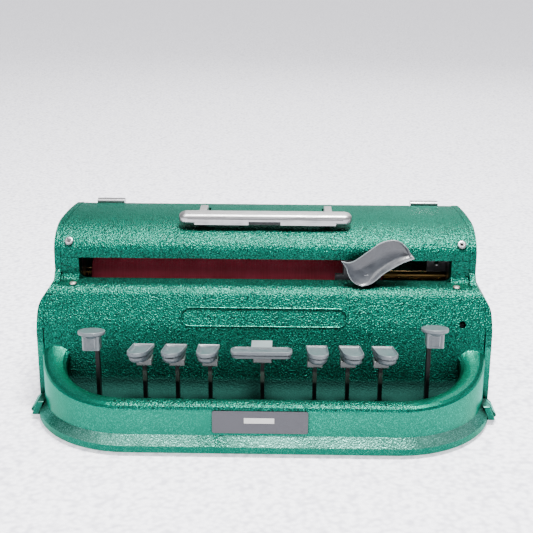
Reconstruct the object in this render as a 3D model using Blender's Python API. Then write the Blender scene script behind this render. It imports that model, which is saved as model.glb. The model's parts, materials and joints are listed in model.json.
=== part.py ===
"""Mechanical braille typewriter, modelled as an assembly of its separate pieces.

Units are metres.  X runs to the operator's right, Y away from the operator and
Z up.  Heights are measured from the table.  Names that end in BACK are distances
behind the front edge of the base flange; the empty that carries every piece
moves that edge forward, so that the machine stands centred on the origin.
"""
import math

import bmesh
import bpy
from mathutils import Matrix, Vector

# Widths of the case, from the slot out to the rail
SLOT_HALF_WIDTH = 0.148
SLOT_BLOCK_WIDTH = 0.0194
UPPER_HALF_WIDTH = SLOT_HALF_WIDTH + SLOT_BLOCK_WIDTH
SHOULDER_STEP_OUT = 0.0101
LOWER_HALF_WIDTH = UPPER_HALF_WIDTH + SHOULDER_STEP_OUT
RAIL_STEP_OUT = 0.0014
RAIL_HALF_WIDTH = LOWER_HALF_WIDTH + RAIL_STEP_OUT
KNOB_REACH = 0.0125
KNOB_END = LOWER_HALF_WIDTH + KNOB_REACH
SIDE_WALL = 0.005
CAST_WALL = 0.003
SHEET_WALL = 0.0025

# Running and fitting clearances
FIT_GAP = 0.0003
SLIDE_GAP = 0.0006
OVERRUN = 0.004

# Distances back along the front casting, from the rail to the slot
RAIL_WIDTH = 0.0199
STEM_BEHIND_RAIL = 0.0251
STEM_BACK = RAIL_WIDTH + STEM_BEHIND_RAIL
FOOT_BEHIND_STEMS = 0.019
PANEL_FOOT_BACK = STEM_BACK + FOOT_BEHIND_STEMS
PANEL_FOOT_DEPTH = 0.015
PANEL_BEND_BACK = PANEL_FOOT_BACK + PANEL_FOOT_DEPTH
PANEL_SLOPE_DEPTH = 0.0135
LEDGE_FRONT_BACK = PANEL_BEND_BACK + PANEL_SLOPE_DEPTH
LEDGE_DEPTH = 0.0171
LID_FRONT_BACK = LEDGE_FRONT_BACK + LEDGE_DEPTH
SILL_DEPTH = 0.0016
SLOT_BACK = LID_FRONT_BACK + SILL_DEPTH
SIDE_AHEAD_OF_BEND = 0.0015
SIDE_FRONT_BACK = PANEL_BEND_BACK - SIDE_AHEAD_OF_BEND
RAIL_END_AHEAD = 0.0055
RAIL_CORNER_DEPTH = LEDGE_FRONT_BACK - RAIL_END_AHEAD
RAIL_CORNER_WIDTH = 0.0797

# Distances back to the mechanism, and from it to the rear wall
SHAFT_BEHIND_BEND = 0.013
KEY_SHAFT_BACK = PANEL_BEND_BACK + SHAFT_BEHIND_BEND
LEVER_TAIL_LENGTH = 0.040
LEVER_REAR_BACK = KEY_SHAFT_BACK + LEVER_TAIL_LENGTH
BARS_BEHIND_LID_EDGE = 0.0049
FIRST_BAR_BACK = LID_FRONT_BACK + BARS_BEHIND_LID_EDGE
ROD_BEHIND_LID_EDGE = 0.0074
LOW_ROD_BACK = LID_FRONT_BACK + ROD_BEHIND_LID_EDGE
ROD_PITCH_BACK = 0.0065
HIGH_ROD_BACK = LOW_ROD_BACK + ROD_PITCH_BACK
ROLLER_BEHIND_ROD = 0.0285
ROLLER_BACK = HIGH_ROD_BACK + ROLLER_BEHIND_ROD
GEAR_PITCH_BACK = 0.018
KNOB_SHAFT_BACK = ROLLER_BACK + GEAR_PITCH_BACK
RELEASE_BEHIND_ROLLER = 0.048
RELEASE_SHAFT_BACK = ROLLER_BACK + RELEASE_BEHIND_ROLLER
FRAME_BEHIND_SHAFT = 0.014
FRAME_REAR_BACK = RELEASE_SHAFT_BACK + FRAME_BEHIND_SHAFT
CASE_BEHIND_FRAME = 0.014
CASE_DEPTH = FRAME_REAR_BACK + CASE_BEHIND_FRAME
REAR_CORNER_DEPTH = 0.016
LID_REAR_BACK = CASE_DEPTH - REAR_CORNER_DEPTH
LID_CURVE_DEPTH = 0.0334
LID_CREST_BACK = LID_FRONT_BACK + LID_CURVE_DEPTH

# Heights of the case, from the feet to the lid
CASE_BOTTOM = 0.003
FLOOR_RISE = 0.020
FLOOR_TOP = CASE_BOTTOM + FLOOR_RISE
FLOOR_RADIUS = 0.010
PANEL_FOOT_RISE = 0.0484
PANEL_BEND_HEIGHT = FLOOR_TOP + PANEL_FOOT_RISE
PANEL_BEND_RADIUS = 0.060
PANEL_SLOPE_RISE = 0.0271
LEDGE_FRONT_HEIGHT = PANEL_BEND_HEIGHT + PANEL_SLOPE_RISE
LEDGE_RADIUS = 0.012
LEDGE_RISE = 0.0015
SLOT_SILL = LEDGE_FRONT_HEIGHT + LEDGE_RISE
SILL_LIP = 0.008
SLOT_OPENING = 0.017
LID_FRONT_EDGE = SLOT_SILL + SLOT_OPENING
LID_UPRIGHT = 0.004
LID_CURVE_RISE = 0.019
LID_CREST_HEIGHT = LID_FRONT_EDGE + LID_UPRIGHT + LID_CURVE_RISE
LID_REAR_DROP = 0.0042
REAR_CORNER_DROP = 0.022
REAR_CORNER_HEIGHT = LID_CREST_HEIGHT - REAR_CORNER_DROP
SHOULDER_HIGH = SLOT_SILL
SHOULDER_RISE = 0.032
SHOULDER_LOW = SHOULDER_HIGH - SHOULDER_RISE
RAIL_RISE = 0.0322
RAIL_HEIGHT = CASE_BOTTOM + RAIL_RISE
RAIL_CROWN = 0.0042

# Heights of the mechanism
KEY_SHAFT_RISE = 0.013
KEY_SHAFT_HEIGHT = CASE_BOTTOM + KEY_SHAFT_RISE
BARS_ABOVE_SHAFT = 0.026
BAR_BOTTOM = KEY_SHAFT_HEIGHT + BARS_ABOVE_SHAFT
ROLLER_BELOW_LEDGE = 0.0075
ROLLER_HEIGHT = LEDGE_FRONT_HEIGHT - ROLLER_BELOW_LEDGE
HIGH_ROD_DROP = 0.005
HIGH_ROD_HEIGHT = ROLLER_HEIGHT - HIGH_ROD_DROP
ROD_PITCH_DOWN = 0.015
LOW_ROD_HEIGHT = HIGH_ROD_HEIGHT - ROD_PITCH_DOWN
GEAR_PITCH_DOWN = 0.049
KNOB_SHAFT_HEIGHT = ROLLER_HEIGHT - GEAR_PITCH_DOWN
RELEASE_ABOVE_ROLLER = 0.017
RELEASE_SHAFT_HEIGHT = ROLLER_HEIGHT + RELEASE_ABOVE_ROLLER

# Shafts, rods and roller
KEY_SHAFT_RADIUS = 0.003
ROLLER_RADIUS = 0.019
SHAFT_RADIUS = 0.004
RELEASE_SHAFT_RADIUS = 0.003
ROD_RADIUS = 0.003

# Keys and carriage across the machine
END_KEY_IN = 0.0241
END_KEY = SLOT_HALF_WIDTH - END_KEY_IN
FIRST_DOT_KEY_SHARE = 0.3172
FIRST_DOT_KEY = END_KEY * FIRST_DOT_KEY_SHARE
DOT_KEY_PITCH_SHARE = 0.19935
DOT_KEY_PITCH = END_KEY * DOT_KEY_PITCH_SHARE
CARRIAGE_LEFT = 0.060
CARRIAGE_WIDTH = 0.038

# Inner frame plates, and the dot bars between them
FRAME_OUTSIDE_SLOT = 0.002
FRAME_INNER = SLOT_HALF_WIDTH + FRAME_OUTSIDE_SLOT
FRAME_SHEET = 0.0025
BAR_END_GAP = 0.002
BAR_HALF_LENGTH = FRAME_INNER - BAR_END_GAP
DOT_COUNT = 6
BAR_PITCH = 0.0027
BAR_THICKNESS = 0.0016
BAR_HEIGHT = 0.016

# How many straight steps a full circle has
FINE_STEPS = 32
ROUND_STEPS = 24
SMALL_STEPS = 12


def clear_scene():
    """Remove whatever the scene holds."""
    for thing in list(bpy.data.objects):
        bpy.data.objects.remove(thing, do_unlink=True)


def finish(name, colour, roughness, metallic):
    """A plain material with one colour and gloss."""
    material = bpy.data.materials.new(name)
    material.use_nodes = True
    shader = material.node_tree.nodes["Principled BSDF"]
    shader.inputs["Base Color"].default_value = (*colour, 1.0)
    shader.inputs["Roughness"].default_value = roughness
    shader.inputs["Metallic"].default_value = metallic
    return material


FINISHES = {
    "green enamel": ((0.004, 0.200, 0.110), 0.35, 0.4),
    "grey plastic": ((0.420, 0.470, 0.480), 0.40, 0.0),
    "dark grey plastic": ((0.150, 0.160, 0.170), 0.35, 0.0),
    "black steel": ((0.010, 0.010, 0.012), 0.45, 0.6),
    "plated steel": ((0.560, 0.560, 0.550), 0.30, 1.0),
    "satin metal": ((0.620, 0.620, 0.610), 0.32, 0.9),
    "brass": ((0.600, 0.400, 0.150), 0.30, 1.0),
    "maroon rubber": ((0.150, 0.012, 0.025), 0.60, 0.0),
    "black rubber": ((0.012, 0.012, 0.012), 0.80, 0.0),
    "label": ((0.080, 0.080, 0.100), 0.50, 0.2),
}


def smooth_step(share):
    """Ease from 0 to 1 with level ends."""
    inside = min(max(share, 0.0), 1.0)
    return inside * inside * (3.0 - 2.0 * inside)


def mix(start, end, share):
    """The value that lies a share of the way from start to end."""
    return start + (end - start) * share


def rounded_path(points, radii, steps=4, closed=False):
    """The 2-D points with each corner turned into an arc of its radius."""
    path = []
    count = len(points)
    for index, corner in enumerate(points):
        radius = radii[index]
        at_end = not closed and index in (0, count - 1)
        if at_end or radius == 0.0:
            path.append(corner)
            continue
        here = Vector(corner)
        before = (Vector(points[index - 1]) - here).normalized()
        after = (Vector(points[(index + 1) % count]) - here).normalized()
        half_angle = before.angle(after) / 2.0
        reach = radius / math.tan(half_angle)
        centre = here + (before + after).normalized() * (radius / math.sin(half_angle))
        first = here + before * reach - centre
        last = here + after * reach - centre
        turn = first.angle_signed(last)
        for step in range(steps + 1):
            point = first.copy()
            point.rotate(Matrix.Rotation(-turn * step / steps, 2))
            path.append(tuple(centre + point))
    return path


def offset_path(path, distance):
    """An open 2-D path moved sideways, to its left, by a distance."""
    moved = []
    for index, point in enumerate(path):
        before = Vector(path[max(index - 1, 0)])
        after = Vector(path[min(index + 1, len(path) - 1)])
        here = Vector(point)
        directions = [d.normalized() for d in (here - before, after - here) if d.length > 0.0]
        normals = [Vector((-d.y, d.x)) for d in directions]
        normal = (normals[0] + normals[-1]).normalized()
        stretch = normal.dot(normals[0])
        moved.append(tuple(here + normal * (distance / stretch)))
    return moved


def wall_outline(path, wall):
    """Closed outline of a wall whose outer face follows the path."""
    return list(path) + offset_path(path, wall)[::-1]


def circle(centre, radius, steps, start=0.0):
    """Points round a circle."""
    turn = 2.0 * math.pi / steps
    return [
        (
            centre[0] + radius * math.cos(start + turn * step),
            centre[1] + radius * math.sin(start + turn * step),
        )
        for step in range(steps)
    ]


def place(axis, along, pair):
    """A 3-D point from a distance along an axis and the two other places."""
    if axis == "X":
        return Vector((along, pair[0], pair[1]))
    if axis == "Y":
        return Vector((pair[0], along, pair[1]))
    return Vector((pair[0], pair[1], along))


def loft(rings, closed=False):
    """A solid through rings of points; its ends are capped unless it is closed."""
    shape = bmesh.new()
    loops = [[shape.verts.new(point) for point in ring] for ring in rings]
    size = len(rings[0])
    pairs = list(zip(loops, loops[1:]))
    if closed:
        pairs.append((loops[-1], loops[0]))
    for near, far in pairs:
        for index in range(size):
            following = (index + 1) % size
            shape.faces.new((near[index], near[following], far[following], far[index]))
    if not closed:
        shape.faces.new(loops[0][::-1])
        shape.faces.new(loops[-1])
    bmesh.ops.recalc_face_normals(shape, faces=shape.faces)
    return shape


def prism(outline, axis, start, end):
    """An outline drawn out along an axis."""
    return loft([[place(axis, along, pair) for pair in outline] for along in (start, end)])


def box(x_range, y_range, z_range):
    """A block between two corners."""
    outline = [
        (y_range[0], z_range[0]),
        (y_range[1], z_range[0]),
        (y_range[1], z_range[1]),
        (y_range[0], z_range[1]),
    ]
    return prism(outline, "X", x_range[0], x_range[1])


def turned(profile, axis, centre, steps):
    """A round solid from pairs of (place along the axis, radius)."""
    return loft([
        [place(axis, along, pair) for pair in circle(centre, radius, steps)]
        for along, radius in profile
    ])


def bar(axis, centre, radius, start, end, steps=SMALL_STEPS):
    """A plain round bar, also used as the cutter of a bore."""
    return turned([(start, radius), (end, radius)], axis, centre, steps)


def scene_object(name, shape):
    """Give a shape an object in the scene."""
    mesh = bpy.data.meshes.new(name)
    shape.to_mesh(mesh)
    shape.free()
    thing = bpy.data.objects.new(name, mesh)
    bpy.context.scene.collection.objects.link(thing)
    return thing


def combine(first, second, operation):
    """Boolean of two closed shapes, which it uses up."""
    base = scene_object("base shape", first)
    tool = scene_object("tool shape", second)
    modifier = base.modifiers.new("boolean", "BOOLEAN")
    modifier.operation = operation
    modifier.object = tool
    graph = bpy.context.evaluated_depsgraph_get()
    solved = bpy.data.meshes.new_from_object(base.evaluated_get(graph))
    result = bmesh.new()
    result.from_mesh(solved)
    for thing in (base, tool):
        used = thing.data
        bpy.data.objects.remove(thing)
        bpy.data.meshes.remove(used)
    bpy.data.meshes.remove(solved)
    return result


def union(shape, *others):
    """Join shapes that run into each other."""
    for other in others:
        shape = combine(shape, other, "UNION")
    return shape


def cut(shape, *tools):
    """Take shapes away."""
    for tool in tools:
        shape = combine(shape, tool, "DIFFERENCE")
    return shape


def common(shape, other):
    """Keep what two shapes share."""
    return combine(shape, other, "INTERSECT")


def mirrored(shape):
    """The same shape on the other side of the machine."""
    bmesh.ops.scale(shape, verts=shape.verts, vec=(-1.0, 1.0, 1.0))
    bmesh.ops.reverse_faces(shape, faces=shape.faces)
    return shape


def on_side(side, shape):
    """A shape modelled on the right, kept there or mirrored to the left."""
    return shape if side > 0 else mirrored(shape)


def make(name, shape, look, pivot=(0.0, 0.0, 0.0), smooth_angle=32.0):
    """Finish a piece: its origin on its pivot, its material and its shading."""
    bmesh.ops.translate(shape, verts=shape.verts, vec=-Vector(pivot))
    bmesh.ops.recalc_face_normals(shape, faces=shape.faces)
    piece = scene_object(name, shape)
    piece.parent = machine
    piece.location = pivot
    piece.data.materials.append(materials[look])
    piece.data.shade_smooth()
    piece.data.set_sharp_from_angle(angle=math.radians(smooth_angle))
    return piece


# Case: the curves that its pieces share

SHOULDER_EASE = 2.6


def half_width(height):
    """Outer half width of the case at a height: it steps in at the shoulder."""
    share = (height - SHOULDER_LOW) / (SHOULDER_HIGH - SHOULDER_LOW)
    eased = max(share, 0.0) ** SHOULDER_EASE
    return mix(LOWER_HALF_WIDTH, UPPER_HALF_WIDTH, smooth_step(eased))


SHOULDER_STEPS = 10


def side_curve(inset, bottom, top):
    """The case's side seen from the front, from bottom to top."""
    curve = [(half_width(bottom) - inset, bottom)]
    for step in range(SHOULDER_STEPS + 1):
        height = mix(SHOULDER_LOW, SHOULDER_HIGH, step / SHOULDER_STEPS)
        curve.append((half_width(height) - inset, height))
    curve.append((half_width(top) - inset, top))
    return curve


def core():
    """Everything between the two side panels."""
    right = side_curve(SIDE_WALL + FIT_GAP, -OVERRUN, LID_CREST_HEIGHT + OVERRUN)
    left = [(-x, z) for x, z in right[::-1]]
    return prism(right + left, "Y", -OVERRUN, CASE_DEPTH + OVERRUN)


def front_path():
    """Outer face of the front casting from the slot's lip down to the rail."""
    points = [
        (SLOT_BACK, SLOT_SILL - SILL_LIP),
        (SLOT_BACK, SLOT_SILL),
        (LEDGE_FRONT_BACK, LEDGE_FRONT_HEIGHT),
        (PANEL_BEND_BACK, PANEL_BEND_HEIGHT),
        (PANEL_FOOT_BACK, FLOOR_TOP),
        (RAIL_WIDTH - CAST_WALL / 2.0, FLOOR_TOP),
    ]
    radii = [0.0, 0.0, LEDGE_RADIUS, PANEL_BEND_RADIUS, FLOOR_RADIUS, 0.0]
    return rounded_path(points, radii, steps=5)


LID_CURVE_STEPS = 9
LID_TOP_STEPS = 6
REAR_CURVE_STEPS = 6


def lid_path():
    """Outer face of the lid from its front edge to its rear edge."""
    foot = LID_FRONT_EDGE + LID_UPRIGHT
    reach = LID_CREST_BACK - LID_FRONT_BACK
    rise = LID_CREST_HEIGHT - foot
    path = [(LID_FRONT_BACK, LID_FRONT_EDGE)]
    for step in range(LID_CURVE_STEPS + 1):
        angle = math.pi / 2.0 * step / LID_CURVE_STEPS
        path.append((LID_CREST_BACK - reach * math.cos(angle), foot + rise * math.sin(angle)))
    for step in range(1, LID_TOP_STEPS + 1):
        share = step / LID_TOP_STEPS
        back = mix(LID_CREST_BACK, LID_REAR_BACK, share)
        path.append((back, LID_CREST_HEIGHT - LID_REAR_DROP * share * share))
    return path


def rear_curve(last_share):
    """The case's round rear corner, from the lid's rear edge downwards."""
    top = LID_CREST_HEIGHT - LID_REAR_DROP
    curve = []
    for step in range(REAR_CURVE_STEPS + 1):
        share = mix(last_share, 1.0, step / REAR_CURVE_STEPS)
        angle = math.pi / 2.0 * share
        curve.append((
            LID_REAR_BACK + (CASE_DEPTH - LID_REAR_BACK) * math.sin(angle),
            REAR_CORNER_HEIGHT + (top - REAR_CORNER_HEIGHT) * math.cos(angle),
        ))
    return curve


# Front casting

RAIL_FLANGE = 0.0055
RAIL_FLANGE_EDGE = 0.0052
RAIL_FLANGE_RISE = 0.012
RAIL_TURN_STEPS = 15
RAIL_END_ANGLE = 84.0
RAIL_CROWN_STEPS = 7
HORN_WIDTH = 0.0335
HORN_RISE = 0.016
HORN_CROWN = 0.0078
HORN_RISE_EASE = 2.6
HORN_WIDTH_EASE = 6.5
BLOCK_FILLET = 0.007
BLOCK_DEPTH = 0.0108
BLOCK_BACK = SLOT_BACK + BLOCK_DEPTH
SLOT_CORNER_RADIUS = 0.006
SLOT_CORNER_STEPS = 4
KEY_SLOT_LENGTH = 0.014
KEY_SLOT_WIDTH = 0.0054
NAMEPLATE_LENGTH = 0.1296
NAMEPLATE_HEIGHT = 0.0145
NAMEPLATE_DEPTH = 0.0008
NAMEPLATE_ABOVE_BEND = 0.0066
NAMEPLATE_CENTRE = PANEL_BEND_HEIGHT + NAMEPLATE_ABOVE_BEND
PANEL_HOLE_RADIUS = 0.0028
PANEL_HOLE_OUT = 0.0065
PANEL_HOLE_SIDE = SLOT_HALF_WIDTH + PANEL_HOLE_OUT
PANEL_HOLE_ABOVE_BEND = 0.0031
PANEL_HOLE_HEIGHT = PANEL_BEND_HEIGHT + PANEL_HOLE_ABOVE_BEND
LEDGE_PIN_OUT = 0.0028
LEDGE_PIN_SIDE = SLOT_HALF_WIDTH + LEDGE_PIN_OUT
LEDGE_PIN_BEHIND_EDGE = 0.005
LEDGE_PIN_BACK = LEDGE_FRONT_BACK + LEDGE_PIN_BEHIND_EDGE
LEDGE_PIN_RADIUS = 0.0026
LEDGE_PIN_HEIGHT = 0.0011


def horn_share(angle, ease):
    """How far the rail has turned into a horn at an angle round its corner."""
    return (angle / math.radians(RAIL_END_ANGLE)) ** ease


def rail_inner(angle):
    """Width of the rail in from its outer edge at an angle round its corner."""
    return mix(RAIL_WIDTH, HORN_WIDTH, horn_share(angle, HORN_WIDTH_EASE))


def rail_section(angle):
    """The rail's section: pairs of (distance in from the outer edge, height)."""
    edge = RAIL_HEIGHT + HORN_RISE * horn_share(angle, HORN_RISE_EASE)
    crown = mix(RAIL_CROWN, HORN_CROWN, horn_share(angle, HORN_WIDTH_EASE))
    inner = rail_inner(angle)
    flange_top = CASE_BOTTOM + RAIL_FLANGE_EDGE
    section = [
        (0.0, CASE_BOTTOM),
        (0.0, flange_top),
        (RAIL_FLANGE, CASE_BOTTOM + RAIL_FLANGE_RISE),
    ]
    for step in range(RAIL_CROWN_STEPS + 1):
        turn = math.pi * step / RAIL_CROWN_STEPS
        across = mix(RAIL_FLANGE, inner, (1.0 - math.cos(turn)) / 2.0)
        section.append((across, edge + crown * math.sin(turn)))
    section += [
        (inner, CASE_BOTTOM),
        (inner - CAST_WALL, CASE_BOTTOM),
        (inner - CAST_WALL, edge - CAST_WALL),
        (RAIL_FLANGE + CAST_WALL, edge - CAST_WALL),
        (RAIL_FLANGE + CAST_WALL, CASE_BOTTOM),
    ]
    return section


def rail_place(side, angle, across, height):
    """A point of the rail at an angle round its corner."""
    centre = RAIL_HALF_WIDTH - RAIL_CORNER_WIDTH
    x = centre + (RAIL_CORNER_WIDTH - across) * math.sin(angle)
    y = RAIL_CORNER_DEPTH - (RAIL_CORNER_DEPTH - across) * math.cos(angle)
    return Vector((side * x, y, height))


def rail_angles():
    """The corner's angles from the horn to the straight front."""
    return [
        math.radians(RAIL_END_ANGLE) * (1.0 - step / RAIL_TURN_STEPS)
        for step in range(RAIL_TURN_STEPS + 1)
    ]


def rail():
    """The rail from the left horn round the front to the right horn."""
    rings = []
    for side in (-1, 1):
        turn = [
            [rail_place(side, angle, *pair) for pair in rail_section(angle)]
            for angle in rail_angles()
        ]
        rings += turn if side < 0 else turn[::-1]
    return loft(rings)


def rail_plan(inset):
    """Plan of the space inside the rail, open to the back."""
    right = [rail_place(1, angle, inset, 0.0) for angle in rail_angles()]
    side = LOWER_HALF_WIDTH - SIDE_WALL - FIT_GAP
    outline = [(side, CASE_DEPTH), (side, right[0].y)]
    outline += [(point.x, point.y) for point in right]
    outline += [(-x, y) for x, y in outline[::-1]]
    return prism(outline, "Z", -OVERRUN, LID_CREST_HEIGHT)


def slot_block():
    """The block beside the slot that the lid rests on, faired into the ledge."""
    face = LID_FRONT_BACK
    top = LID_FRONT_EDGE - FIT_GAP
    foot = SLOT_SILL - CAST_WALL
    points = [
        (face - 2.0 * BLOCK_FILLET, foot),
        (face - 2.0 * BLOCK_FILLET, SLOT_SILL - CAST_WALL / 2.0),
        (face, SLOT_SILL - CAST_WALL / 2.0),
        (face, top),
        (BLOCK_BACK, top),
        (BLOCK_BACK, foot),
    ]
    outline = rounded_path(points, [0.0, 0.0, BLOCK_FILLET, 0.0, 0.0, 0.0], steps=5, closed=True)
    return prism(outline, "X", SLOT_HALF_WIDTH, LOWER_HALF_WIDTH)


def slot_corner():
    """Small fillet that rounds the slot's lower corner."""
    radius = SLOT_CORNER_RADIUS
    inner = SLOT_HALF_WIDTH - radius
    base = SLOT_SILL - CAST_WALL
    outline = [(inner, base)]
    for step in range(SLOT_CORNER_STEPS + 1):
        angle = math.pi / 2.0 * step / SLOT_CORNER_STEPS
        outline.append((
            inner + radius * math.sin(angle), SLOT_SILL - FIT_GAP + radius * (1.0 - math.cos(angle))
        ))
    outline += [(SLOT_HALF_WIDTH + CAST_WALL, outline[-1][1]), (SLOT_HALF_WIDTH + CAST_WALL, base)]
    return prism(outline, "Y", LID_FRONT_BACK - FIT_GAP, LID_FRONT_BACK + CAST_WALL)


def panel_slope():
    """Angle of the panel's upper part from upright."""
    lean = LEDGE_FRONT_BACK - PANEL_BEND_BACK
    return math.atan2(lean, LEDGE_FRONT_HEIGHT - PANEL_BEND_HEIGHT)


def panel_back(height):
    """How far back the upper panel's face lies at a height."""
    return PANEL_BEND_BACK + (height - PANEL_BEND_HEIGHT) * math.tan(panel_slope())


def panel_tool(outline, side, height, depth):
    """A cutter that goes square into the sloping panel."""
    tool = prism(outline, "Y", -OVERRUN, depth)
    bmesh.ops.rotate(
        tool, verts=tool.verts, matrix=Matrix.Rotation(-panel_slope(), 3, "X"), cent=(0.0, 0.0, 0.0)
    )
    bmesh.ops.translate(tool, verts=tool.verts, vec=(side, panel_back(height), height))
    return tool


def nameplate_recess():
    """Cutter of the shallow long recess with round ends, which stays bare."""
    radius = NAMEPLATE_HEIGHT / 2.0
    half = NAMEPLATE_LENGTH / 2.0
    corners = [(-half, -radius), (half, -radius), (half, radius), (-half, radius)]
    corner_radius = radius - FIT_GAP
    outline = rounded_path(corners, [corner_radius] * len(corners), steps=6, closed=True)
    return panel_tool(outline, 0.0, NAMEPLATE_CENTRE, NAMEPLATE_DEPTH)


def ledge_height(back):
    """Height of the ledge's top face at a distance back."""
    share = (back - LEDGE_FRONT_BACK) / (SLOT_BACK - LEDGE_FRONT_BACK)
    return mix(LEDGE_FRONT_HEIGHT, SLOT_SILL, share)


def ledge_pin(side):
    """Small round stud that stands on the ledge."""
    seat = ledge_height(LEDGE_PIN_BACK)
    profile = [
        (seat - CAST_WALL / 2.0, LEDGE_PIN_RADIUS),
        (seat + LEDGE_PIN_HEIGHT / 2.0, LEDGE_PIN_RADIUS),
        (seat + LEDGE_PIN_HEIGHT, LEDGE_PIN_RADIUS / 2.0),
    ]
    return turned(profile, "Z", (side * LEDGE_PIN_SIDE, LEDGE_PIN_BACK), SMALL_STEPS)


def key_places():
    """Name and place across the machine of each key, from left to right."""
    places = [("line_space", -END_KEY)]
    for dot, count in ((3, 2), (2, 1), (1, 0)):
        places.append((f"dot_{dot}", -FIRST_DOT_KEY - count * DOT_KEY_PITCH))
    places.append(("space", 0.0))
    for dot, count in ((4, 0), (5, 1), (6, 2)):
        places.append((f"dot_{dot}", FIRST_DOT_KEY + count * DOT_KEY_PITCH))
    places.append(("back_space", END_KEY))
    return places


def front_cover():
    """Front casting: sill, sloping panel, well floor, slot blocks and rail."""
    shell = prism(
        wall_outline(front_path(), CAST_WALL), "X", -LOWER_HALF_WIDTH, LOWER_HALF_WIDTH
    )
    shell = union(shell, slot_block(), mirrored(slot_block()))
    shell = union(shell, slot_corner(), mirrored(slot_corner()))
    shell = common(shell, core())
    shell = common(shell, rail_plan(RAIL_FLANGE + CAST_WALL / 2.0))
    shell = union(shell, rail())
    inner_side = LOWER_HALF_WIDTH - SIDE_WALL - FIT_GAP
    for side in (-1, 1):
        pocket = box(
            (inner_side, RAIL_HALF_WIDTH + OVERRUN),
            (SIDE_FRONT_BACK - FIT_GAP, RAIL_CORNER_DEPTH + OVERRUN),
            (-OVERRUN, LID_CREST_HEIGHT),
        )
        shell = cut(shell, on_side(side, pocket))
    for _, side in key_places():
        slot = box(
            (side - KEY_SLOT_WIDTH / 2.0, side + KEY_SLOT_WIDTH / 2.0),
            (STEM_BACK - KEY_SLOT_LENGTH / 2.0, STEM_BACK + KEY_SLOT_LENGTH / 2.0),
            (FLOOR_TOP - CAST_WALL - OVERRUN, FLOOR_TOP + OVERRUN),
        )
        shell = cut(shell, slot)
    hole = circle((0.0, 0.0), PANEL_HOLE_RADIUS, SMALL_STEPS)
    shell = cut(
        shell,
        nameplate_recess(),
        panel_tool(hole, PANEL_HOLE_SIDE, PANEL_HOLE_HEIGHT, CAST_WALL + OVERRUN),
    )
    shell = union(shell, ledge_pin(-1), ledge_pin(1))
    make("front_cover", shell, "green enamel")


# Screws that hold the lid

LID_SCREW_OUT = 0.0075
LID_SCREW_SIDE = SLOT_HALF_WIDTH + LID_SCREW_OUT
LID_SCREW_RADIUS = 0.0015
LID_SCREW_LENGTH = 0.009
LID_HEAD_RADIUS = 0.0035
LID_HEAD_HEIGHT = 0.0020
LID_SCREW_ANGLE = 26.0
LUG_WIDTH = 0.009
LUG_GAP = 0.0012


def lid_screw_seat():
    """Place on the lid's curve of its screws, and the direction out of the lid."""
    foot = LID_FRONT_EDGE + LID_UPRIGHT
    reach = LID_CREST_BACK - LID_FRONT_BACK
    rise = LID_CREST_HEIGHT - foot
    angle = math.radians(LID_SCREW_ANGLE)
    seat = Vector((LID_CREST_BACK - reach * math.cos(angle), foot + rise * math.sin(angle)))
    normal = Vector((-math.cos(angle) / reach, math.sin(angle) / rise)).normalized()
    return seat, normal


def from_lid(shape, side):
    """Stand a shape that was made along +Z square on the lid at its screw."""
    seat, normal = lid_screw_seat()
    lean = math.atan2(-normal.x, normal.y)
    bmesh.ops.rotate(shape, verts=shape.verts, matrix=Matrix.Rotation(lean, 3, "X"), cent=(0.0, 0.0, 0.0))
    bmesh.ops.translate(shape, verts=shape.verts, vec=(side * LID_SCREW_SIDE, seat.x, seat.y))
    return shape


def lid_screw_bore(side):
    """Bore of a lid screw through the lid and its lug."""
    radius = LID_SCREW_RADIUS + FIT_GAP
    return from_lid(
        bar("Z", (0.0, 0.0), radius, -LID_SCREW_LENGTH - FIT_GAP, OVERRUN / 2.0), side
    )


def lid_screw(side):
    """Round-headed screw at the lid's front corner."""
    profile = [
        (-LID_SCREW_LENGTH, LID_SCREW_RADIUS),
        (FIT_GAP, LID_SCREW_RADIUS),
        (FIT_GAP, LID_HEAD_RADIUS),
        (FIT_GAP + LID_HEAD_HEIGHT / 2.0, LID_HEAD_RADIUS),
        (FIT_GAP + LID_HEAD_HEIGHT, LID_HEAD_RADIUS / 2.0),
    ]
    return from_lid(turned(profile, "Z", (0.0, 0.0), SMALL_STEPS), side)


def lid_lug(side):
    """Lug on a side panel under the lid, for its screw."""
    half = LUG_WIDTH / 2.0
    lug = box(
        (-half, LUG_WIDTH),
        (-half, half),
        (-LID_SCREW_LENGTH, -SHEET_WALL - LUG_GAP),
    )
    return on_side(side, from_lid(lug, 1))


def screws():
    """The two screws of the lid."""
    make("lid_screw_left", lid_screw(-1), "plated steel")
    make("lid_screw_right", lid_screw(1), "plated steel")


# Side panels

EAR_REACH = 0.0030
EAR_EDGE_RISE = 0.0028
EAR_EDGE_HEIGHT = 0.0012
EAR_AHEAD = 0.0145
EAR_FRONT_BACK = SIDE_FRONT_BACK - EAR_AHEAD
EAR_BEHIND = 0.0085
EAR_REAR_BACK = SIDE_FRONT_BACK + EAR_BEHIND
KNOB_BORE_GAP = 0.0006


def side_outline():
    """A side panel seen from the side."""
    front = [point for point in front_path()[1:] if point[0] > SIDE_FRONT_BACK]
    crossing = next(
        height for back, height in front_path()[::-1]
        if back > SIDE_FRONT_BACK
    )
    face = [(LID_FRONT_BACK, LID_FRONT_EDGE), (LID_FRONT_BACK, SLOT_SILL + BLOCK_FILLET)]
    ledge_end = (LID_FRONT_BACK - BLOCK_FILLET, ledge_height(LID_FRONT_BACK - BLOCK_FILLET))
    ledge = [point for point in front if point[0] < ledge_end[0]]
    outline = [(SIDE_FRONT_BACK, CASE_BOTTOM), (SIDE_FRONT_BACK, crossing - BLOCK_FILLET)]
    outline += ledge[::-1]
    outline += [ledge_end] + face[::-1]
    outline += lid_path()[1:] + rear_curve(0.0)[1:]
    outline += [(CASE_DEPTH, CASE_BOTTOM)]
    return outline


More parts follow.
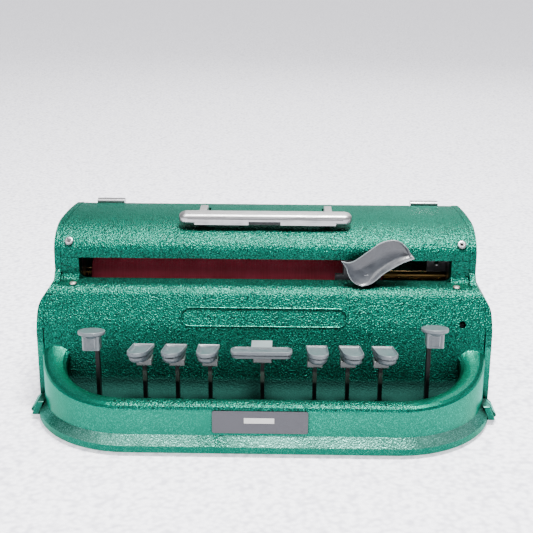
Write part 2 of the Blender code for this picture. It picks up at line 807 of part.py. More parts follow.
def side_section():
    """A side panel's section seen from the front."""
    top = LID_CREST_HEIGHT + OVERRUN
    outer = side_curve(0.0, CASE_BOTTOM, top)
    inner = side_curve(SIDE_WALL, CASE_BOTTOM, top)
    return outer + inner[::-1]


def ear():
    """Lug that flares out at the panel's foot and runs forward beside the rail."""
    edge = RAIL_HALF_WIDTH + EAR_REACH
    beside = RAIL_HALF_WIDTH + FIT_GAP
    inside = LOWER_HALF_WIDTH - SIDE_WALL / 2.0
    low = CASE_BOTTOM + EAR_EDGE_RISE
    high = low + EAR_EDGE_HEIGHT
    top = high + edge - beside
    flare = [(beside, CASE_BOTTOM), (edge, low), (edge, high), (beside, top)]
    front = prism(flare, "Y", EAR_FRONT_BACK, SIDE_FRONT_BACK + SIDE_WALL)
    root = [(inside, top), (inside, CASE_BOTTOM)]
    rear = prism(flare + root, "Y", SIDE_FRONT_BACK, EAR_REAR_BACK)
    return union(rear, front)


def side_panel(name, side):
    """Cast end wall that steps in at the shoulder, with an ear at its foot."""
    panel = prism(side_outline(), "X", UPPER_HALF_WIDTH - 2.0 * SIDE_WALL, KNOB_END)
    panel = common(panel, prism(side_section(), "Y", -OVERRUN, CASE_DEPTH + OVERRUN))
    panel = union(panel, lid_lug(1), ear())
    bore = bar(
        "X", (KNOB_SHAFT_BACK, KNOB_SHAFT_HEIGHT), SHAFT_RADIUS + KNOB_BORE_GAP,
        UPPER_HALF_WIDTH - SIDE_WALL, KNOB_END,
    )
    panel = cut(panel, bore, lid_screw_bore(1))
    make(name, on_side(side, panel), "green enamel")


# Back panel, lid and base plate

BACK_TOP_SHARE = 0.42
RELEASE_NOTCH_DEPTH = 0.028
RELEASE_NOTCH_FLOOR = LID_CREST_HEIGHT - RELEASE_NOTCH_DEPTH
RELEASE_PAD_LENGTH = 0.024
RELEASE_PAD_LEFT = FRAME_INNER - RELEASE_PAD_LENGTH
RELEASE_PAD_RIGHT = FRAME_INNER
NOTCH_GAP = 0.003
BASE_SHEET = 0.0016
STOP_RIB_DEPTH = 0.005
HAMMER_POST_RADIUS = 0.002
HAMMER_POST_RISE = 0.043
HAMMER_POST_TOP = CASE_BOTTOM + HAMMER_POST_RISE
BELL_FROM_FRAME = 0.035
BELL_SIDE = BELL_FROM_FRAME - FRAME_INNER
BELL_FROM_REAR = 0.030
BELL_BACK = CASE_DEPTH - BELL_FROM_REAR
HAMMER_REACH = 0.0235


def back_panel():
    """Rear wall, bent forward at its top to guide the paper in."""
    path = [(CASE_DEPTH, CASE_BOTTOM)] + rear_curve(BACK_TOP_SHARE)[::-1]
    wall = prism(wall_outline(path, CAST_WALL), "X", -LOWER_HALF_WIDTH, LOWER_HALF_WIDTH)
    wall = common(wall, core())
    for side in (-1, 1):
        notch = box(
            (RELEASE_PAD_LEFT - NOTCH_GAP, RELEASE_PAD_RIGHT + NOTCH_GAP),
            (LID_REAR_BACK, CASE_DEPTH + OVERRUN),
            (RELEASE_NOTCH_FLOOR, LID_CREST_HEIGHT),
        )
        wall = cut(wall, on_side(side, notch))
    make("back_panel", wall, "green enamel")


def base_plate():
    """Bottom sheet with the rib that the levers rest on and the hammer's post."""
    top = CASE_BOTTOM + FIT_GAP + BASE_SHEET
    side = LOWER_HALF_WIDTH - SIDE_WALL - FIT_GAP
    rear = CASE_DEPTH - CAST_WALL - FIT_GAP
    right = []
    for angle in rail_angles()[::-1]:
        point = rail_place(1, angle, rail_inner(angle) + FIT_GAP, CASE_BOTTOM)
        right.append((point.x, point.y))
    right += [(right[-1][0], RAIL_CORNER_DEPTH), (side, RAIL_CORNER_DEPTH), (side, rear)]
    outline = right + [(-x, y) for x, y in right[::-1]]
    sheet = prism(outline, "Z", CASE_BOTTOM + FIT_GAP, top)
    for place_of_foot in foot_places():
        sheet = cut(sheet, bar("Z", place_of_foot, FOOT_PLUG_RADIUS + FIT_GAP, -OVERRUN, top + OVERRUN))
    post = bar(
        "Z", (BELL_SIDE + HAMMER_REACH, BELL_BACK), HAMMER_POST_RADIUS,
        top - BASE_SHEET / 2.0, HAMMER_POST_TOP,
    )
    rib_side = FRAME_INNER - FIT_GAP
    rib = box(
        (-rib_side, rib_side),
        (LEVER_REAR_BACK - STOP_RIB_DEPTH, LEVER_REAR_BACK),
        (top - BASE_SHEET / 2.0, KEY_SHAFT_HEIGHT - LEVER_HEIGHT / 2.0 - FIT_GAP),
    )
    make("base_plate", union(sheet, post, rib), "black steel")


HINGE_BEHIND_CREST = 0.029
HANDLE_HINGE_BACK = LID_CREST_BACK + HINGE_BEHIND_CREST
HINGE_BELOW_CREST = 0.0075
HANDLE_HINGE_HEIGHT = LID_CREST_HEIGHT - HINGE_BELOW_CREST
HANDLE_ROD_RADIUS = 0.002
HANDLE_ARM_SIDE = 0.0509
HANDLE_ARM_WIDTH = 0.006
SLOT_AHEAD_OF_HINGE = 0.020
HANDLE_SLOT_FRONT = HANDLE_HINGE_BACK - SLOT_AHEAD_OF_HINGE
SLOT_BEHIND_HINGE = 0.017
HANDLE_SLOT_REAR = HANDLE_HINGE_BACK + SLOT_BEHIND_HINGE
HINGE_LUG_WIDTH = 0.004
HINGE_LUG_LENGTH = 0.009


def hinge_lugs(side):
    """The two ears under the lid on either side of a handle arm."""
    near = HANDLE_ARM_SIDE + HANDLE_ARM_WIDTH / 2.0 + SLIDE_GAP
    far = HANDLE_ARM_SIDE - HANDLE_ARM_WIDTH / 2.0 - SLIDE_GAP
    half = HINGE_LUG_LENGTH / 2.0
    ears = [
        box(
            x_range,
            (HANDLE_HINGE_BACK - half, HANDLE_HINGE_BACK + half),
            (HANDLE_HINGE_HEIGHT - half, LID_CREST_HEIGHT - SHEET_WALL),
        )
        for x_range in ((near, near + HINGE_LUG_WIDTH), (far - HINGE_LUG_WIDTH, far))
    ]
    return [on_side(side, ear) for ear in ears]


def top_cover():
    """Sheet lid with the handle's slots, its hinge ears and two screw holes."""
    half = UPPER_HALF_WIDTH - SIDE_WALL - FIT_GAP
    lid = prism(wall_outline(lid_path(), -SHEET_WALL), "X", -half, half)
    lid = union(lid, *hinge_lugs(-1), *hinge_lugs(1))
    slot_half = HANDLE_ARM_WIDTH / 2.0 + SLIDE_GAP
    for side in (-1, 1):
        slot = box(
            (HANDLE_ARM_SIDE - slot_half, HANDLE_ARM_SIDE + slot_half),
            (HANDLE_SLOT_FRONT, HANDLE_SLOT_REAR),
            (HANDLE_HINGE_HEIGHT - LUG_WIDTH, LID_CREST_HEIGHT + OVERRUN),
        )
        lid = cut(lid, on_side(side, slot), lid_screw_bore(side))
    rod_bore = bar(
        "X", (HANDLE_HINGE_BACK, HANDLE_HINGE_HEIGHT), HANDLE_ROD_RADIUS + FIT_GAP,
        -UPPER_HALF_WIDTH / 2.0, UPPER_HALF_WIDTH / 2.0,
    )
    make("top_cover", cut(lid, rod_bore), "green enamel")


FOOT_RADIUS = 0.009
FOOT_PLUG_RADIUS = 0.0025
FOOT_PLUG_LENGTH = 0.004
FRONT_FOOT_SIDE = 0.105
FRONT_FOOT_BEHIND_RAIL = 0.0181
FRONT_FOOT_BACK = RAIL_WIDTH + FRONT_FOOT_BEHIND_RAIL
REAR_FOOT_IN = 0.0165
REAR_FOOT_SIDE = LOWER_HALF_WIDTH - REAR_FOOT_IN
REAR_FOOT_FROM_REAR = 0.020
REAR_FOOT_BACK = CASE_DEPTH - REAR_FOOT_FROM_REAR


def foot_places():
    """Centres of the four feet."""
    front = [(side * FRONT_FOOT_SIDE, FRONT_FOOT_BACK) for side in (-1, 1)]
    rear = [(side * REAR_FOOT_SIDE, REAR_FOOT_BACK) for side in (-1, 1)]
    return front + rear


def rubber_feet():
    """Four round feet, each with a plug through the base plate."""
    names = ("foot_front_left", "foot_front_right", "foot_rear_left", "foot_rear_right")
    for name, centre in zip(names, foot_places()):
        profile = [
            (0.0, FOOT_RADIUS - FOOT_PLUG_RADIUS / 4.0),
            (CASE_BOTTOM / 2.0, FOOT_RADIUS),
            (CASE_BOTTOM, FOOT_RADIUS),
            (CASE_BOTTOM, FOOT_PLUG_RADIUS),
            (CASE_BOTTOM + FOOT_PLUG_LENGTH, FOOT_PLUG_RADIUS),
        ]
        make(name, turned(profile, "Z", centre, ROUND_STEPS), "black rubber")


LABEL_LENGTH = 0.0697
LABEL_HEIGHT = 0.0175
LABEL_THICKNESS = 0.0005
LABEL_CENTRE_SIDE = -0.0008
LABEL_BELOW_EDGE = 0.0093
LABEL_CENTRE_HEIGHT = RAIL_HEIGHT - LABEL_BELOW_EDGE
LABEL_CORNER_RADIUS = 0.0015


def label_plate():
    """Plain plate on the rail's front face."""
    half = LABEL_LENGTH / 2.0
    rise = LABEL_HEIGHT / 2.0
    corners = [
        (LABEL_CENTRE_SIDE - half, LABEL_CENTRE_HEIGHT - rise),
        (LABEL_CENTRE_SIDE + half, LABEL_CENTRE_HEIGHT - rise),
        (LABEL_CENTRE_SIDE + half, LABEL_CENTRE_HEIGHT + rise),
        (LABEL_CENTRE_SIDE - half, LABEL_CENTRE_HEIGHT + rise),
    ]
    outline = rounded_path(corners, [LABEL_CORNER_RADIUS] * len(corners), closed=True)
    back = RAIL_FLANGE - FIT_GAP
    make("label_plate", prism(outline, "Y", back - LABEL_THICKNESS, back), "label")


# Carrying handle

GRIP_HALF_LENGTH = 0.0690
GRIP_AHEAD_OF_CREST = 0.021
GRIP_FRONT_BACK = LID_CREST_BACK - GRIP_AHEAD_OF_CREST
GRIP_DEPTH = 0.016
GRIP_GAP = 0.001
GRIP_BOTTOM = LID_CREST_HEIGHT + GRIP_GAP
GRIP_HEIGHT = 0.009
GRIP_EDGE_RADIUS = 0.0036
GRIP_END_SHARES = ((1.0, 0.50), (0.985, 0.74), (0.955, 0.92), (0.92, 1.0))
LIP_HALF_LENGTH = 0.0565
LIP_DEPTH = 0.008
LIP_RISE = 0.0004
LIP_BOTTOM = GRIP_BOTTOM + LIP_RISE
GRIP_NOTCH_SIDE = -0.0005
GRIP_NOTCH_LENGTH = 0.0255
GRIP_NOTCH_HEIGHT = 0.0028
GRIP_NOTCH_DEPTH = LIP_DEPTH + GRIP_GAP
HANDLE_ARM_HEIGHT = 0.005
HANDLE_BOSS_RADIUS = 0.0042
BEND_AHEAD_OF_HINGE = 0.012
HANDLE_ARM_BEND = HANDLE_HINGE_BACK - BEND_AHEAD_OF_HINGE


def grip():
    """Flat grip bar with rounded edges and ends, square and notched along its lower front."""
    centre = (GRIP_FRONT_BACK + GRIP_DEPTH / 2.0, GRIP_BOTTOM + GRIP_HEIGHT / 2.0)
    corners = [
        (-GRIP_DEPTH / 2.0, -GRIP_HEIGHT / 2.0),
        (GRIP_DEPTH / 2.0, -GRIP_HEIGHT / 2.0),
        (GRIP_DEPTH / 2.0, GRIP_HEIGHT / 2.0),
        (-GRIP_DEPTH / 2.0, GRIP_HEIGHT / 2.0),
    ]
    section = rounded_path(corners, [GRIP_EDGE_RADIUS] * len(corners), closed=True)
    stations = [(-place_share, size_share) for place_share, size_share in GRIP_END_SHARES]
    stations += [(place_share, size_share) for place_share, size_share in GRIP_END_SHARES[::-1]]
    rings = []
    for place_share, size_share in stations:
        rings.append([
            place(
                "X", GRIP_HALF_LENGTH * place_share,
                (centre[0] + y * size_share, centre[1] + z * size_share),
            )
            for y, z in section
        ])
    lip = box(
        (-LIP_HALF_LENGTH, LIP_HALF_LENGTH),
        (GRIP_FRONT_BACK, GRIP_FRONT_BACK + LIP_DEPTH),
        (LIP_BOTTOM, centre[1]),
    )
    notch = box(
        (GRIP_NOTCH_SIDE - GRIP_NOTCH_LENGTH / 2.0, GRIP_NOTCH_SIDE + GRIP_NOTCH_LENGTH / 2.0),
        (GRIP_FRONT_BACK - OVERRUN, GRIP_FRONT_BACK + GRIP_NOTCH_DEPTH),
        (LIP_BOTTOM - OVERRUN, LIP_BOTTOM + GRIP_NOTCH_HEIGHT),
    )
    return cut(union(loft(rings), lip), notch)


def handle_arm(side):
    """Arm from the grip back to its hinge under the lid."""
    hinge = (HANDLE_HINGE_BACK, HANDLE_HINGE_HEIGHT)
    boss = HANDLE_BOSS_RADIUS
    middle = GRIP_BOTTOM + GRIP_HEIGHT / 2.0
    low = middle - HANDLE_ARM_HEIGHT / 2.0
    high = middle + HANDLE_ARM_HEIGHT / 2.0
    outline = [
        (hinge[0] - boss, hinge[1] - boss / 2.0),
        (hinge[0] - boss / 2.0, hinge[1] - boss),
        (hinge[0] + boss / 2.0, hinge[1] - boss),
        (hinge[0] + boss, hinge[1] - boss / 2.0),
        (hinge[0] + boss, hinge[1] + boss / 2.0),
        (HANDLE_ARM_BEND + HANDLE_ARM_HEIGHT, high - HANDLE_ARM_HEIGHT / 2.0),
        (HANDLE_ARM_BEND, high),
        (GRIP_FRONT_BACK + GRIP_DEPTH - GRIP_EDGE_RADIUS, high),
        (GRIP_FRONT_BACK + GRIP_DEPTH - GRIP_EDGE_RADIUS, low),
        (HANDLE_ARM_BEND - HANDLE_ARM_HEIGHT / 2.0, low),
        (hinge[0] - boss, hinge[1] + boss),
    ]
    half = HANDLE_ARM_WIDTH / 2.0
    arm = prism(outline, "X", HANDLE_ARM_SIDE - half, HANDLE_ARM_SIDE + half)
    bore = bar("X", hinge, HANDLE_ROD_RADIUS + FIT_GAP, 0.0, UPPER_HALF_WIDTH)
    return on_side(side, cut(arm, bore))


def carrying_handle():
    """Grip and two arms, which swing up about the hinge rod."""
    hinge = (0.0, HANDLE_HINGE_BACK, HANDLE_HINGE_HEIGHT)
    handle = union(grip(), handle_arm(-1), handle_arm(1))
    make("carrying_handle", handle, "satin metal", pivot=hinge)
    half = HANDLE_ARM_SIDE + HANDLE_ARM_WIDTH / 2.0 + SLIDE_GAP + HINGE_LUG_WIDTH
    rod = bar("X", hinge[1:], HANDLE_ROD_RADIUS, -half, half)
    make("handle_hinge_rod", rod, "plated steel")


# Inner frame

FRAME_FOOT_GAP = 0.0003
FRAME_TOE = 0.006
FRAME_FRONT_BACK = KEY_SHAFT_BACK - FRAME_TOE
FRAME_STEP_AHEAD = 0.0052
FRAME_STEP_BACK = SLOT_BACK - FRAME_STEP_AHEAD
FRAME_TOE_RISE = 0.010
FRAME_TOE_TOP = KEY_SHAFT_HEIGHT + FRAME_TOE_RISE
FRAME_STEP_RISE = 0.008
FRAME_STEP_HEIGHT = FRAME_TOE_TOP + FRAME_STEP_RISE
FRAME_BELOW_SILL = 0.009
FRAME_SHOULDER_HEIGHT = SLOT_SILL - FRAME_BELOW_SILL
FRAME_SHOULDER_BEHIND = 0.0168
FRAME_SHOULDER_BACK = SLOT_BACK + FRAME_SHOULDER_BEHIND
FRAME_BELOW_LID = 0.001
FRAME_TOP = LID_FRONT_EDGE - FRAME_BELOW_LID
BORE_GAP = 0.0003
BRACKET_LENGTH = 0.016
BRACKET_HEIGHT = 0.012
BRACKET_ABOVE_ROLLER = 0.0045
BRACKET_BOTTOM = ROLLER_HEIGHT + BRACKET_ABOVE_ROLLER
BRACKET_HOLE_RISE = 0.007
BRACKET_HOLE_HEIGHT = BRACKET_BOTTOM + BRACKET_HOLE_RISE
BRACKET_HOLE_RADIUS = 0.002
GUIDE_LENGTH = 0.019
GUIDE_START = FRAME_INNER - GUIDE_LENGTH
GUIDE_FLOOR = 0.005
GUIDE_MARGIN = 0.003


def frame_bores():
    """Centre and radius of each bore in the side plates."""
    return [
        ((KEY_SHAFT_BACK, KEY_SHAFT_HEIGHT), KEY_SHAFT_RADIUS),
        ((LOW_ROD_BACK, LOW_ROD_HEIGHT), ROD_RADIUS),
        ((HIGH_ROD_BACK, HIGH_ROD_HEIGHT), ROD_RADIUS),
        ((ROLLER_BACK, ROLLER_HEIGHT), SHAFT_RADIUS),
        ((KNOB_SHAFT_BACK, KNOB_SHAFT_HEIGHT), SHAFT_RADIUS),
        ((RELEASE_SHAFT_BACK, RELEASE_SHAFT_HEIGHT), RELEASE_SHAFT_RADIUS),
    ]


def bar_guide():
    """Comb on a side plate that holds the dot bars upright."""
    last = FIRST_BAR_BACK + BAR_PITCH * (DOT_COUNT - 1)
    floor = BAR_BOTTOM - FIT_GAP
    top = BAR_BOTTOM + BAR_HEIGHT - GUIDE_MARGIN
    comb = box(
        (GUIDE_START, FRAME_INNER + FRAME_SHEET / 2.0),
        (FIRST_BAR_BACK - GUIDE_MARGIN, last + GUIDE_MARGIN),
        (floor - GUIDE_FLOOR, top),
    )
    for number in range(DOT_COUNT):
        back = FIRST_BAR_BACK + BAR_PITCH * number
        half = BAR_THICKNESS / 2.0 + FIT_GAP
        slot = box(
            (GUIDE_START - OVERRUN, FRAME_INNER - FIT_GAP),
            (back - half, back + half),
            (floor, top + OVERRUN),
        )
        comb = cut(comb, slot)
    return comb


def side_frame(name, side):
    """Steel plate that carries the rods and shafts; the right one has a bracket."""
    bottom = CASE_BOTTOM + FIT_GAP + BASE_SHEET + FRAME_FOOT_GAP
    outline = [
        (FRAME_FRONT_BACK, bottom),
        (FRAME_FRONT_BACK, FRAME_TOE_TOP),
        (FRAME_STEP_BACK, FRAME_STEP_HEIGHT),
        (FRAME_STEP_BACK, FRAME_SHOULDER_HEIGHT),
        (FRAME_SHOULDER_BACK, FRAME_SHOULDER_HEIGHT),
        (FRAME_SHOULDER_BACK, FRAME_TOP),
        (FRAME_REAR_BACK, FRAME_TOP),
        (FRAME_REAR_BACK, bottom),
    ]
    plate = union(prism(outline, "X", FRAME_INNER, FRAME_INNER + FRAME_SHEET), bar_guide())
    for centre, radius in frame_bores():
        plate = cut(plate, bar("X", centre, radius + BORE_GAP, 0.0, LOWER_HALF_WIDTH))
    if side > 0:
        top = BRACKET_BOTTOM + BRACKET_HEIGHT
        bracket = box(
            (FRAME_INNER - BRACKET_LENGTH, FRAME_INNER + FRAME_SHEET / 2.0),
            (ROLLER_BACK - FRAME_SHEET, ROLLER_BACK),
            (BRACKET_BOTTOM, top),
        )
        hole = bar(
            "Y", (FRAME_INNER - BRACKET_LENGTH / 2.0, BRACKET_HOLE_HEIGHT),
            BRACKET_HOLE_RADIUS, 0.0, CASE_DEPTH,
        )
        plate = union(plate, cut(bracket, hole))
    make(name, on_side(side, plate), "plated steel")


def end_of_rods():
    """How far the rods and shafts reach through the side plates."""
    return FRAME_INNER + FRAME_SHEET + FIT_GAP


# Keys

LEVER_THICKNESS = 0.003
LEVER_HEIGHT = 0.006
LEVER_BOSS_RADIUS = 0.006
STEM_DEPTH = 0.006
DOT_CAP_ABOVE_RAIL = 0.0192
DOT_CAP_BOTTOM = RAIL_HEIGHT + DOT_CAP_ABOVE_RAIL
DOT_CAP_HEIGHT = 0.0136
LINE_CAP_ABOVE_DOTS = 0.0116
LINE_CAP_BOTTOM = DOT_CAP_BOTTOM + LINE_CAP_ABOVE_DOTS
BACK_CAP_ABOVE_DOTS = 0.0168
BACK_CAP_BOTTOM = DOT_CAP_BOTTOM + BACK_CAP_ABOVE_DOTS
END_CAP_HEIGHT = 0.0143
SPACE_CAP_ABOVE_DOTS = 0.0028
SPACE_CAP_BOTTOM = DOT_CAP_BOTTOM + SPACE_CAP_ABOVE_DOTS
SPACE_CAP_HEIGHT = 0.0097
SOCKET_DEPTH = 0.007


def cap_bottom(name):
    """Height of the underside of a key's cap."""
    if name.startswith("dot"):
        return DOT_CAP_BOTTOM
    if name == "space":
        return SPACE_CAP_BOTTOM
    return LINE_CAP_BOTTOM if name == "line_space" else BACK_CAP_BOTTOM


def key_lever(name, side):
    """Flat steel lever: upright stem, bar under the floor and bored boss."""
    shaft = (KEY_SHAFT_BACK, KEY_SHAFT_HEIGHT)
    low = KEY_SHAFT_HEIGHT - LEVER_HEIGHT / 2.0
    high = KEY_SHAFT_HEIGHT + LEVER_HEIGHT / 2.0
    boss = LEVER_BOSS_RADIUS
    front = STEM_BACK - STEM_DEPTH / 2.0
    rear = STEM_BACK + STEM_DEPTH / 2.0
    tip = cap_bottom(name) + SOCKET_DEPTH - FIT_GAP
    outline = [
        (front, low),
        (shaft[0] - boss, low),
        (shaft[0] - boss / 2.0, shaft[1] - boss),
        (shaft[0] + boss / 2.0, shaft[1] - boss),
        (shaft[0] + boss, low),
        (LEVER_REAR_BACK, low),
        (LEVER_REAR_BACK, high),
        (shaft[0] + boss, high),
        (shaft[0] + boss / 2.0, shaft[1] + boss),
        (shaft[0] - boss / 2.0, shaft[1] + boss),
        (shaft[0] - boss, high),
        (rear, high),
        (rear, tip),
        (front, tip),
    ]
    half = LEVER_THICKNESS / 2.0
    lever = prism(outline, "X", side - half, side + half)
    bore = bar("X", shaft, KEY_SHAFT_RADIUS + BORE_GAP, side - OVERRUN, side + OVERRUN)
    make("lever_" + name, cut(lever, bore), "black steel", pivot=(side, *shaft))


def socket(side, bottom):
    """Cutter of the socket that a cap has for its stem."""
    half = LEVER_THICKNESS / 2.0 + FIT_GAP
    depth = STEM_DEPTH / 2.0 + FIT_GAP
    return box(
        (side - half, side + half),
        (STEM_BACK - depth, STEM_BACK + depth),
        (bottom - OVERRUN, bottom + SOCKET_DEPTH),
    )


CAP_WIDTH = 0.0162
CAP_FRONT_WIDTH = 0.0150
CAP_FRONT = 0.0150
CAP_LOBE = 0.0075
CAP_REAR = 0.0060
CAP_CENTRE_BACK = 0.0030
CAP_REAR_SHIFT = 0.0012
CAP_FRONT_SHIFTS = (0.0028, 0.0049, 0.0056)
CAP_FRONT_STEPS = 8
# Height and plan size of each ring of a dot key's cap, bottom to top
CAP_RING_SHARES = (
    (0.00, 0.55),
    (0.42, 0.58),
    (0.45, 0.78),
    (0.74, 0.83),
    (0.78, 0.95),
    (0.81, 1.00),
    (0.97, 1.00),
    (1.00, 0.97),
    (1.00, 0.93),
    (0.95, 0.84),
    (0.92, 0.45),
)


def cap_outline(front_shift):
    """Plan of a dot key's cap: straight behind, bowed in front, leaning outwards."""
    rear_half = CAP_WIDTH / 2.0
    front_half = CAP_FRONT_WIDTH / 2.0
    bow = CAP_LOBE - CAP_FRONT
    points = [(CAP_REAR_SHIFT + rear_half, CAP_REAR)]
    for step in range(CAP_FRONT_STEPS + 1):
        angle = math.pi * step / CAP_FRONT_STEPS
        points.append((
            front_shift + front_half * math.cos(angle), bow - CAP_LOBE * math.sin(angle)
        ))
    points.append((CAP_REAR_SHIFT - rear_half, CAP_REAR))
    return points


def dot_cap(name, side, count):
    """Stepped cap of a dot key, dished on top and leaning outwards."""
    away = 1 if side > 0 else -1
    outline = cap_outline(CAP_FRONT_SHIFTS[count])
    rings = []
    for height_share, plan_share in CAP_RING_SHARES:
        height = DOT_CAP_BOTTOM + DOT_CAP_HEIGHT * height_share
        rings.append([
            Vector((
                side + away * mix(CAP_REAR_SHIFT, x, plan_share),
                STEM_BACK + mix(CAP_CENTRE_BACK, y, plan_share),
                height,
            ))
            for x, y in outline
        ])
    cap = cut(loft(rings), socket(side, DOT_CAP_BOTTOM))
    make("cap_" + name, cap, "grey plastic", pivot=(side, KEY_SHAFT_BACK, KEY_SHAFT_HEIGHT))


SPACE_LENGTH = 0.0464
SPACE_SHIFT = -0.0008
SPACE_FRONT = 0.0068
SPACE_REAR = 0.0046
SPACE_TAB_LENGTH = 0.0157
SPACE_TAB_REAR = 0.0172
SPACE_BASE_WIDTH = 0.0064
SPACE_BASE_DEPTH = 0.0092
SPACE_INSET = 0.0026
SPACE_CORNER_RADIUS = 0.0048
# Height and inset of each ring of the space bar, bottom to top
SPACE_RING_SHARES = (
    (0.38, 1.10),
    (0.42, 0.90),
    (0.62, 0.70),
    (0.65, 0.20),
    (0.69, 0.00),
    (0.97, 0.00),
    (1.00, 0.12),
    (1.00, 0.30),
    (0.94, 0.80),
)
SPACE_PLATE_RING = 3


def space_cap():
    """Long space bar with round ends, a tab behind it and a small foot."""
    rings = []
    for height_share, inset_share in SPACE_RING_SHARES:
        inset = SPACE_INSET * inset_share
        half = SPACE_LENGTH / 2.0 - inset
        front = -SPACE_FRONT + inset
        rear = SPACE_REAR - inset
        corners = [(-half, front), (half, front), (half, rear), (-half, rear)]
        radius = min(SPACE_CORNER_RADIUS, (rear - front) / 2.0 - FIT_GAP)
        outline = rounded_path(corners, [radius] * len(corners), steps=4, closed=True)
        height = SPACE_CAP_BOTTOM + SPACE_CAP_HEIGHT * height_share
        rings.append([Vector((SPACE_SHIFT + x, STEM_BACK + y, height)) for x, y in outline])
    top = SPACE_CAP_BOTTOM + SPACE_CAP_HEIGHT
    plate_bottom = SPACE_CAP_BOTTOM + SPACE_CAP_HEIGHT * SPACE_RING_SHARES[SPACE_PLATE_RING][0]
    tab_half = SPACE_TAB_LENGTH / 2.0
    tab = box(
        (SPACE_SHIFT - tab_half, SPACE_SHIFT + tab_half),
        (STEM_BACK + SPACE_REAR - SPACE_INSET / 2.0, STEM_BACK + SPACE_TAB_REAR),
        (plate_bottom, top - FIT_GAP),
    )
    base = box(
        (-SPACE_BASE_WIDTH / 2.0, SPACE_BASE_WIDTH / 2.0),
        (STEM_BACK - SPACE_BASE_DEPTH / 2.0, STEM_BACK + SPACE_BASE_DEPTH / 2.0),
        (SPACE_CAP_BOTTOM, plate_bottom + FIT_GAP),
    )
    cap = cut(union(loft(rings), tab, base), socket(0.0, SPACE_CAP_BOTTOM))
    make("cap_space", cap, "grey plastic", pivot=(0.0, KEY_SHAFT_BACK, KEY_SHAFT_HEIGHT))


DISC_RADIUS = 0.01025
DISC_THICKNESS = 0.0028
DISC_TILT = 9.0
END_BLOCK_WIDTH = 0.0130
END_BLOCK_DEPTH = 0.0115
END_BLOCK_EDGE = 0.0015
END_CAP_OFFSET = 0.0041
# Height in the disc and radius of each ring of an end key's button
DISC_RING_SHARES = (
    (-1.10, 0.50), (-0.10, 0.84), (0.00, 0.96), (0.25, 1.00), (0.80, 1.00), (0.95, 0.96),
    (1.00, 0.88), (0.90, 0.72), (0.86, 0.40),
)


def end_cap(name, side):
    """Round button, tipped back a little, on a block set outwards from its stem."""
    away = 1 if side > 0 else -1
    centre = side + away * END_CAP_OFFSET
    bottom = cap_bottom(name)
    under = bottom + END_CAP_HEIGHT - DISC_THICKNESS
    profile = [
        (DISC_THICKNESS * height_share, DISC_RADIUS * radius_share)
        for height_share, radius_share in DISC_RING_SHARES
    ]
    disc = turned(profile, "Z", (0.0, 0.0), ROUND_STEPS)
    tilt = Matrix.Rotation(-math.radians(DISC_TILT), 3, "X")
    bmesh.ops.rotate(disc, verts=disc.verts, matrix=tilt, cent=(0.0, 0.0, 0.0))
    bmesh.ops.translate(disc, verts=disc.verts, vec=(centre, STEM_BACK, under))
    half = END_BLOCK_WIDTH / 2.0
    reach = END_BLOCK_DEPTH / 2.0
    corners = [(-half, -reach), (half, -reach), (half, reach), (-half, reach)]
    outline = rounded_path(corners, [END_BLOCK_EDGE] * len(corners), steps=3, closed=True)
    block = prism(
        [(centre + x, STEM_BACK + y) for x, y in outline], "Z", bottom, under - FIT_GAP
    )
    cap = cut(union(disc, block), socket(side, bottom))
    make("cap_" + name, cap, "grey plastic", pivot=(side, KEY_SHAFT_BACK, KEY_SHAFT_HEIGHT))


SPRING_SHEET = 0.0006
SPRING_REACH = 0.022
SPRING_FRONT_BACK = KEY_SHAFT_BACK - SPRING_REACH
SPRING_STRIP_AHEAD = 0.012
SPRING_STRIP_FRONT = KEY_SHAFT_BACK - SPRING_STRIP_AHEAD
SPRING_REAR_AHEAD = 0.004
SPRING_REAR_BACK = KEY_SHAFT_BACK - SPRING_REAR_AHEAD
SPRING_FINGER_WIDTH = 0.005


def key_spring_comb():
    """Spring sheet on the base plate with an upright finger under each lever."""
    low = CASE_BOTTOM + FIT_GAP + BASE_SHEET + FIT_GAP
    lever_low = KEY_SHAFT_HEIGHT - LEVER_HEIGHT / 2.0
    path = [
        (SPRING_REAR_BACK, low),
        (SPRING_STRIP_FRONT, low),
        (SPRING_FRONT_BACK, lever_low - FIT_GAP - SPRING_SHEET),
    ]
    strip_reach = END_KEY + SPRING_FINGER_WIDTH
    strip = box(
        (-strip_reach, strip_reach), (SPRING_STRIP_FRONT, SPRING_REAR_BACK), (low, low + SPRING_SHEET)
    )
    half = SPRING_FINGER_WIDTH / 2.0
    for _, side in key_places():
        finger = prism(wall_outline(path, -SPRING_SHEET), "X", side - half, side + half)
        strip = union(strip, finger)
    return strip


def keys():
    """Nine keys, each a lever with its cap, and what they turn and rest on."""
    for name, side in key_places():
        key_lever(name, side)
        if name.startswith("dot"):
            count = round((abs(side) - FIRST_DOT_KEY) / DOT_KEY_PITCH)
            dot_cap(name, side, count)
        elif name == "space":
            space_cap()
        else:
            end_cap(name, side)
    shaft = (KEY_SHAFT_BACK, KEY_SHAFT_HEIGHT)
    reach = end_of_rods()
    make("key_shaft", bar("X", shaft, KEY_SHAFT_RADIUS, -reach, reach), "plated steel")
    make("key_spring_comb", key_spring_comb(), "plated steel")


# Dot bars: one blade for each dot, lifted by its key

BAR_FOOT_WIDTH = 0.006


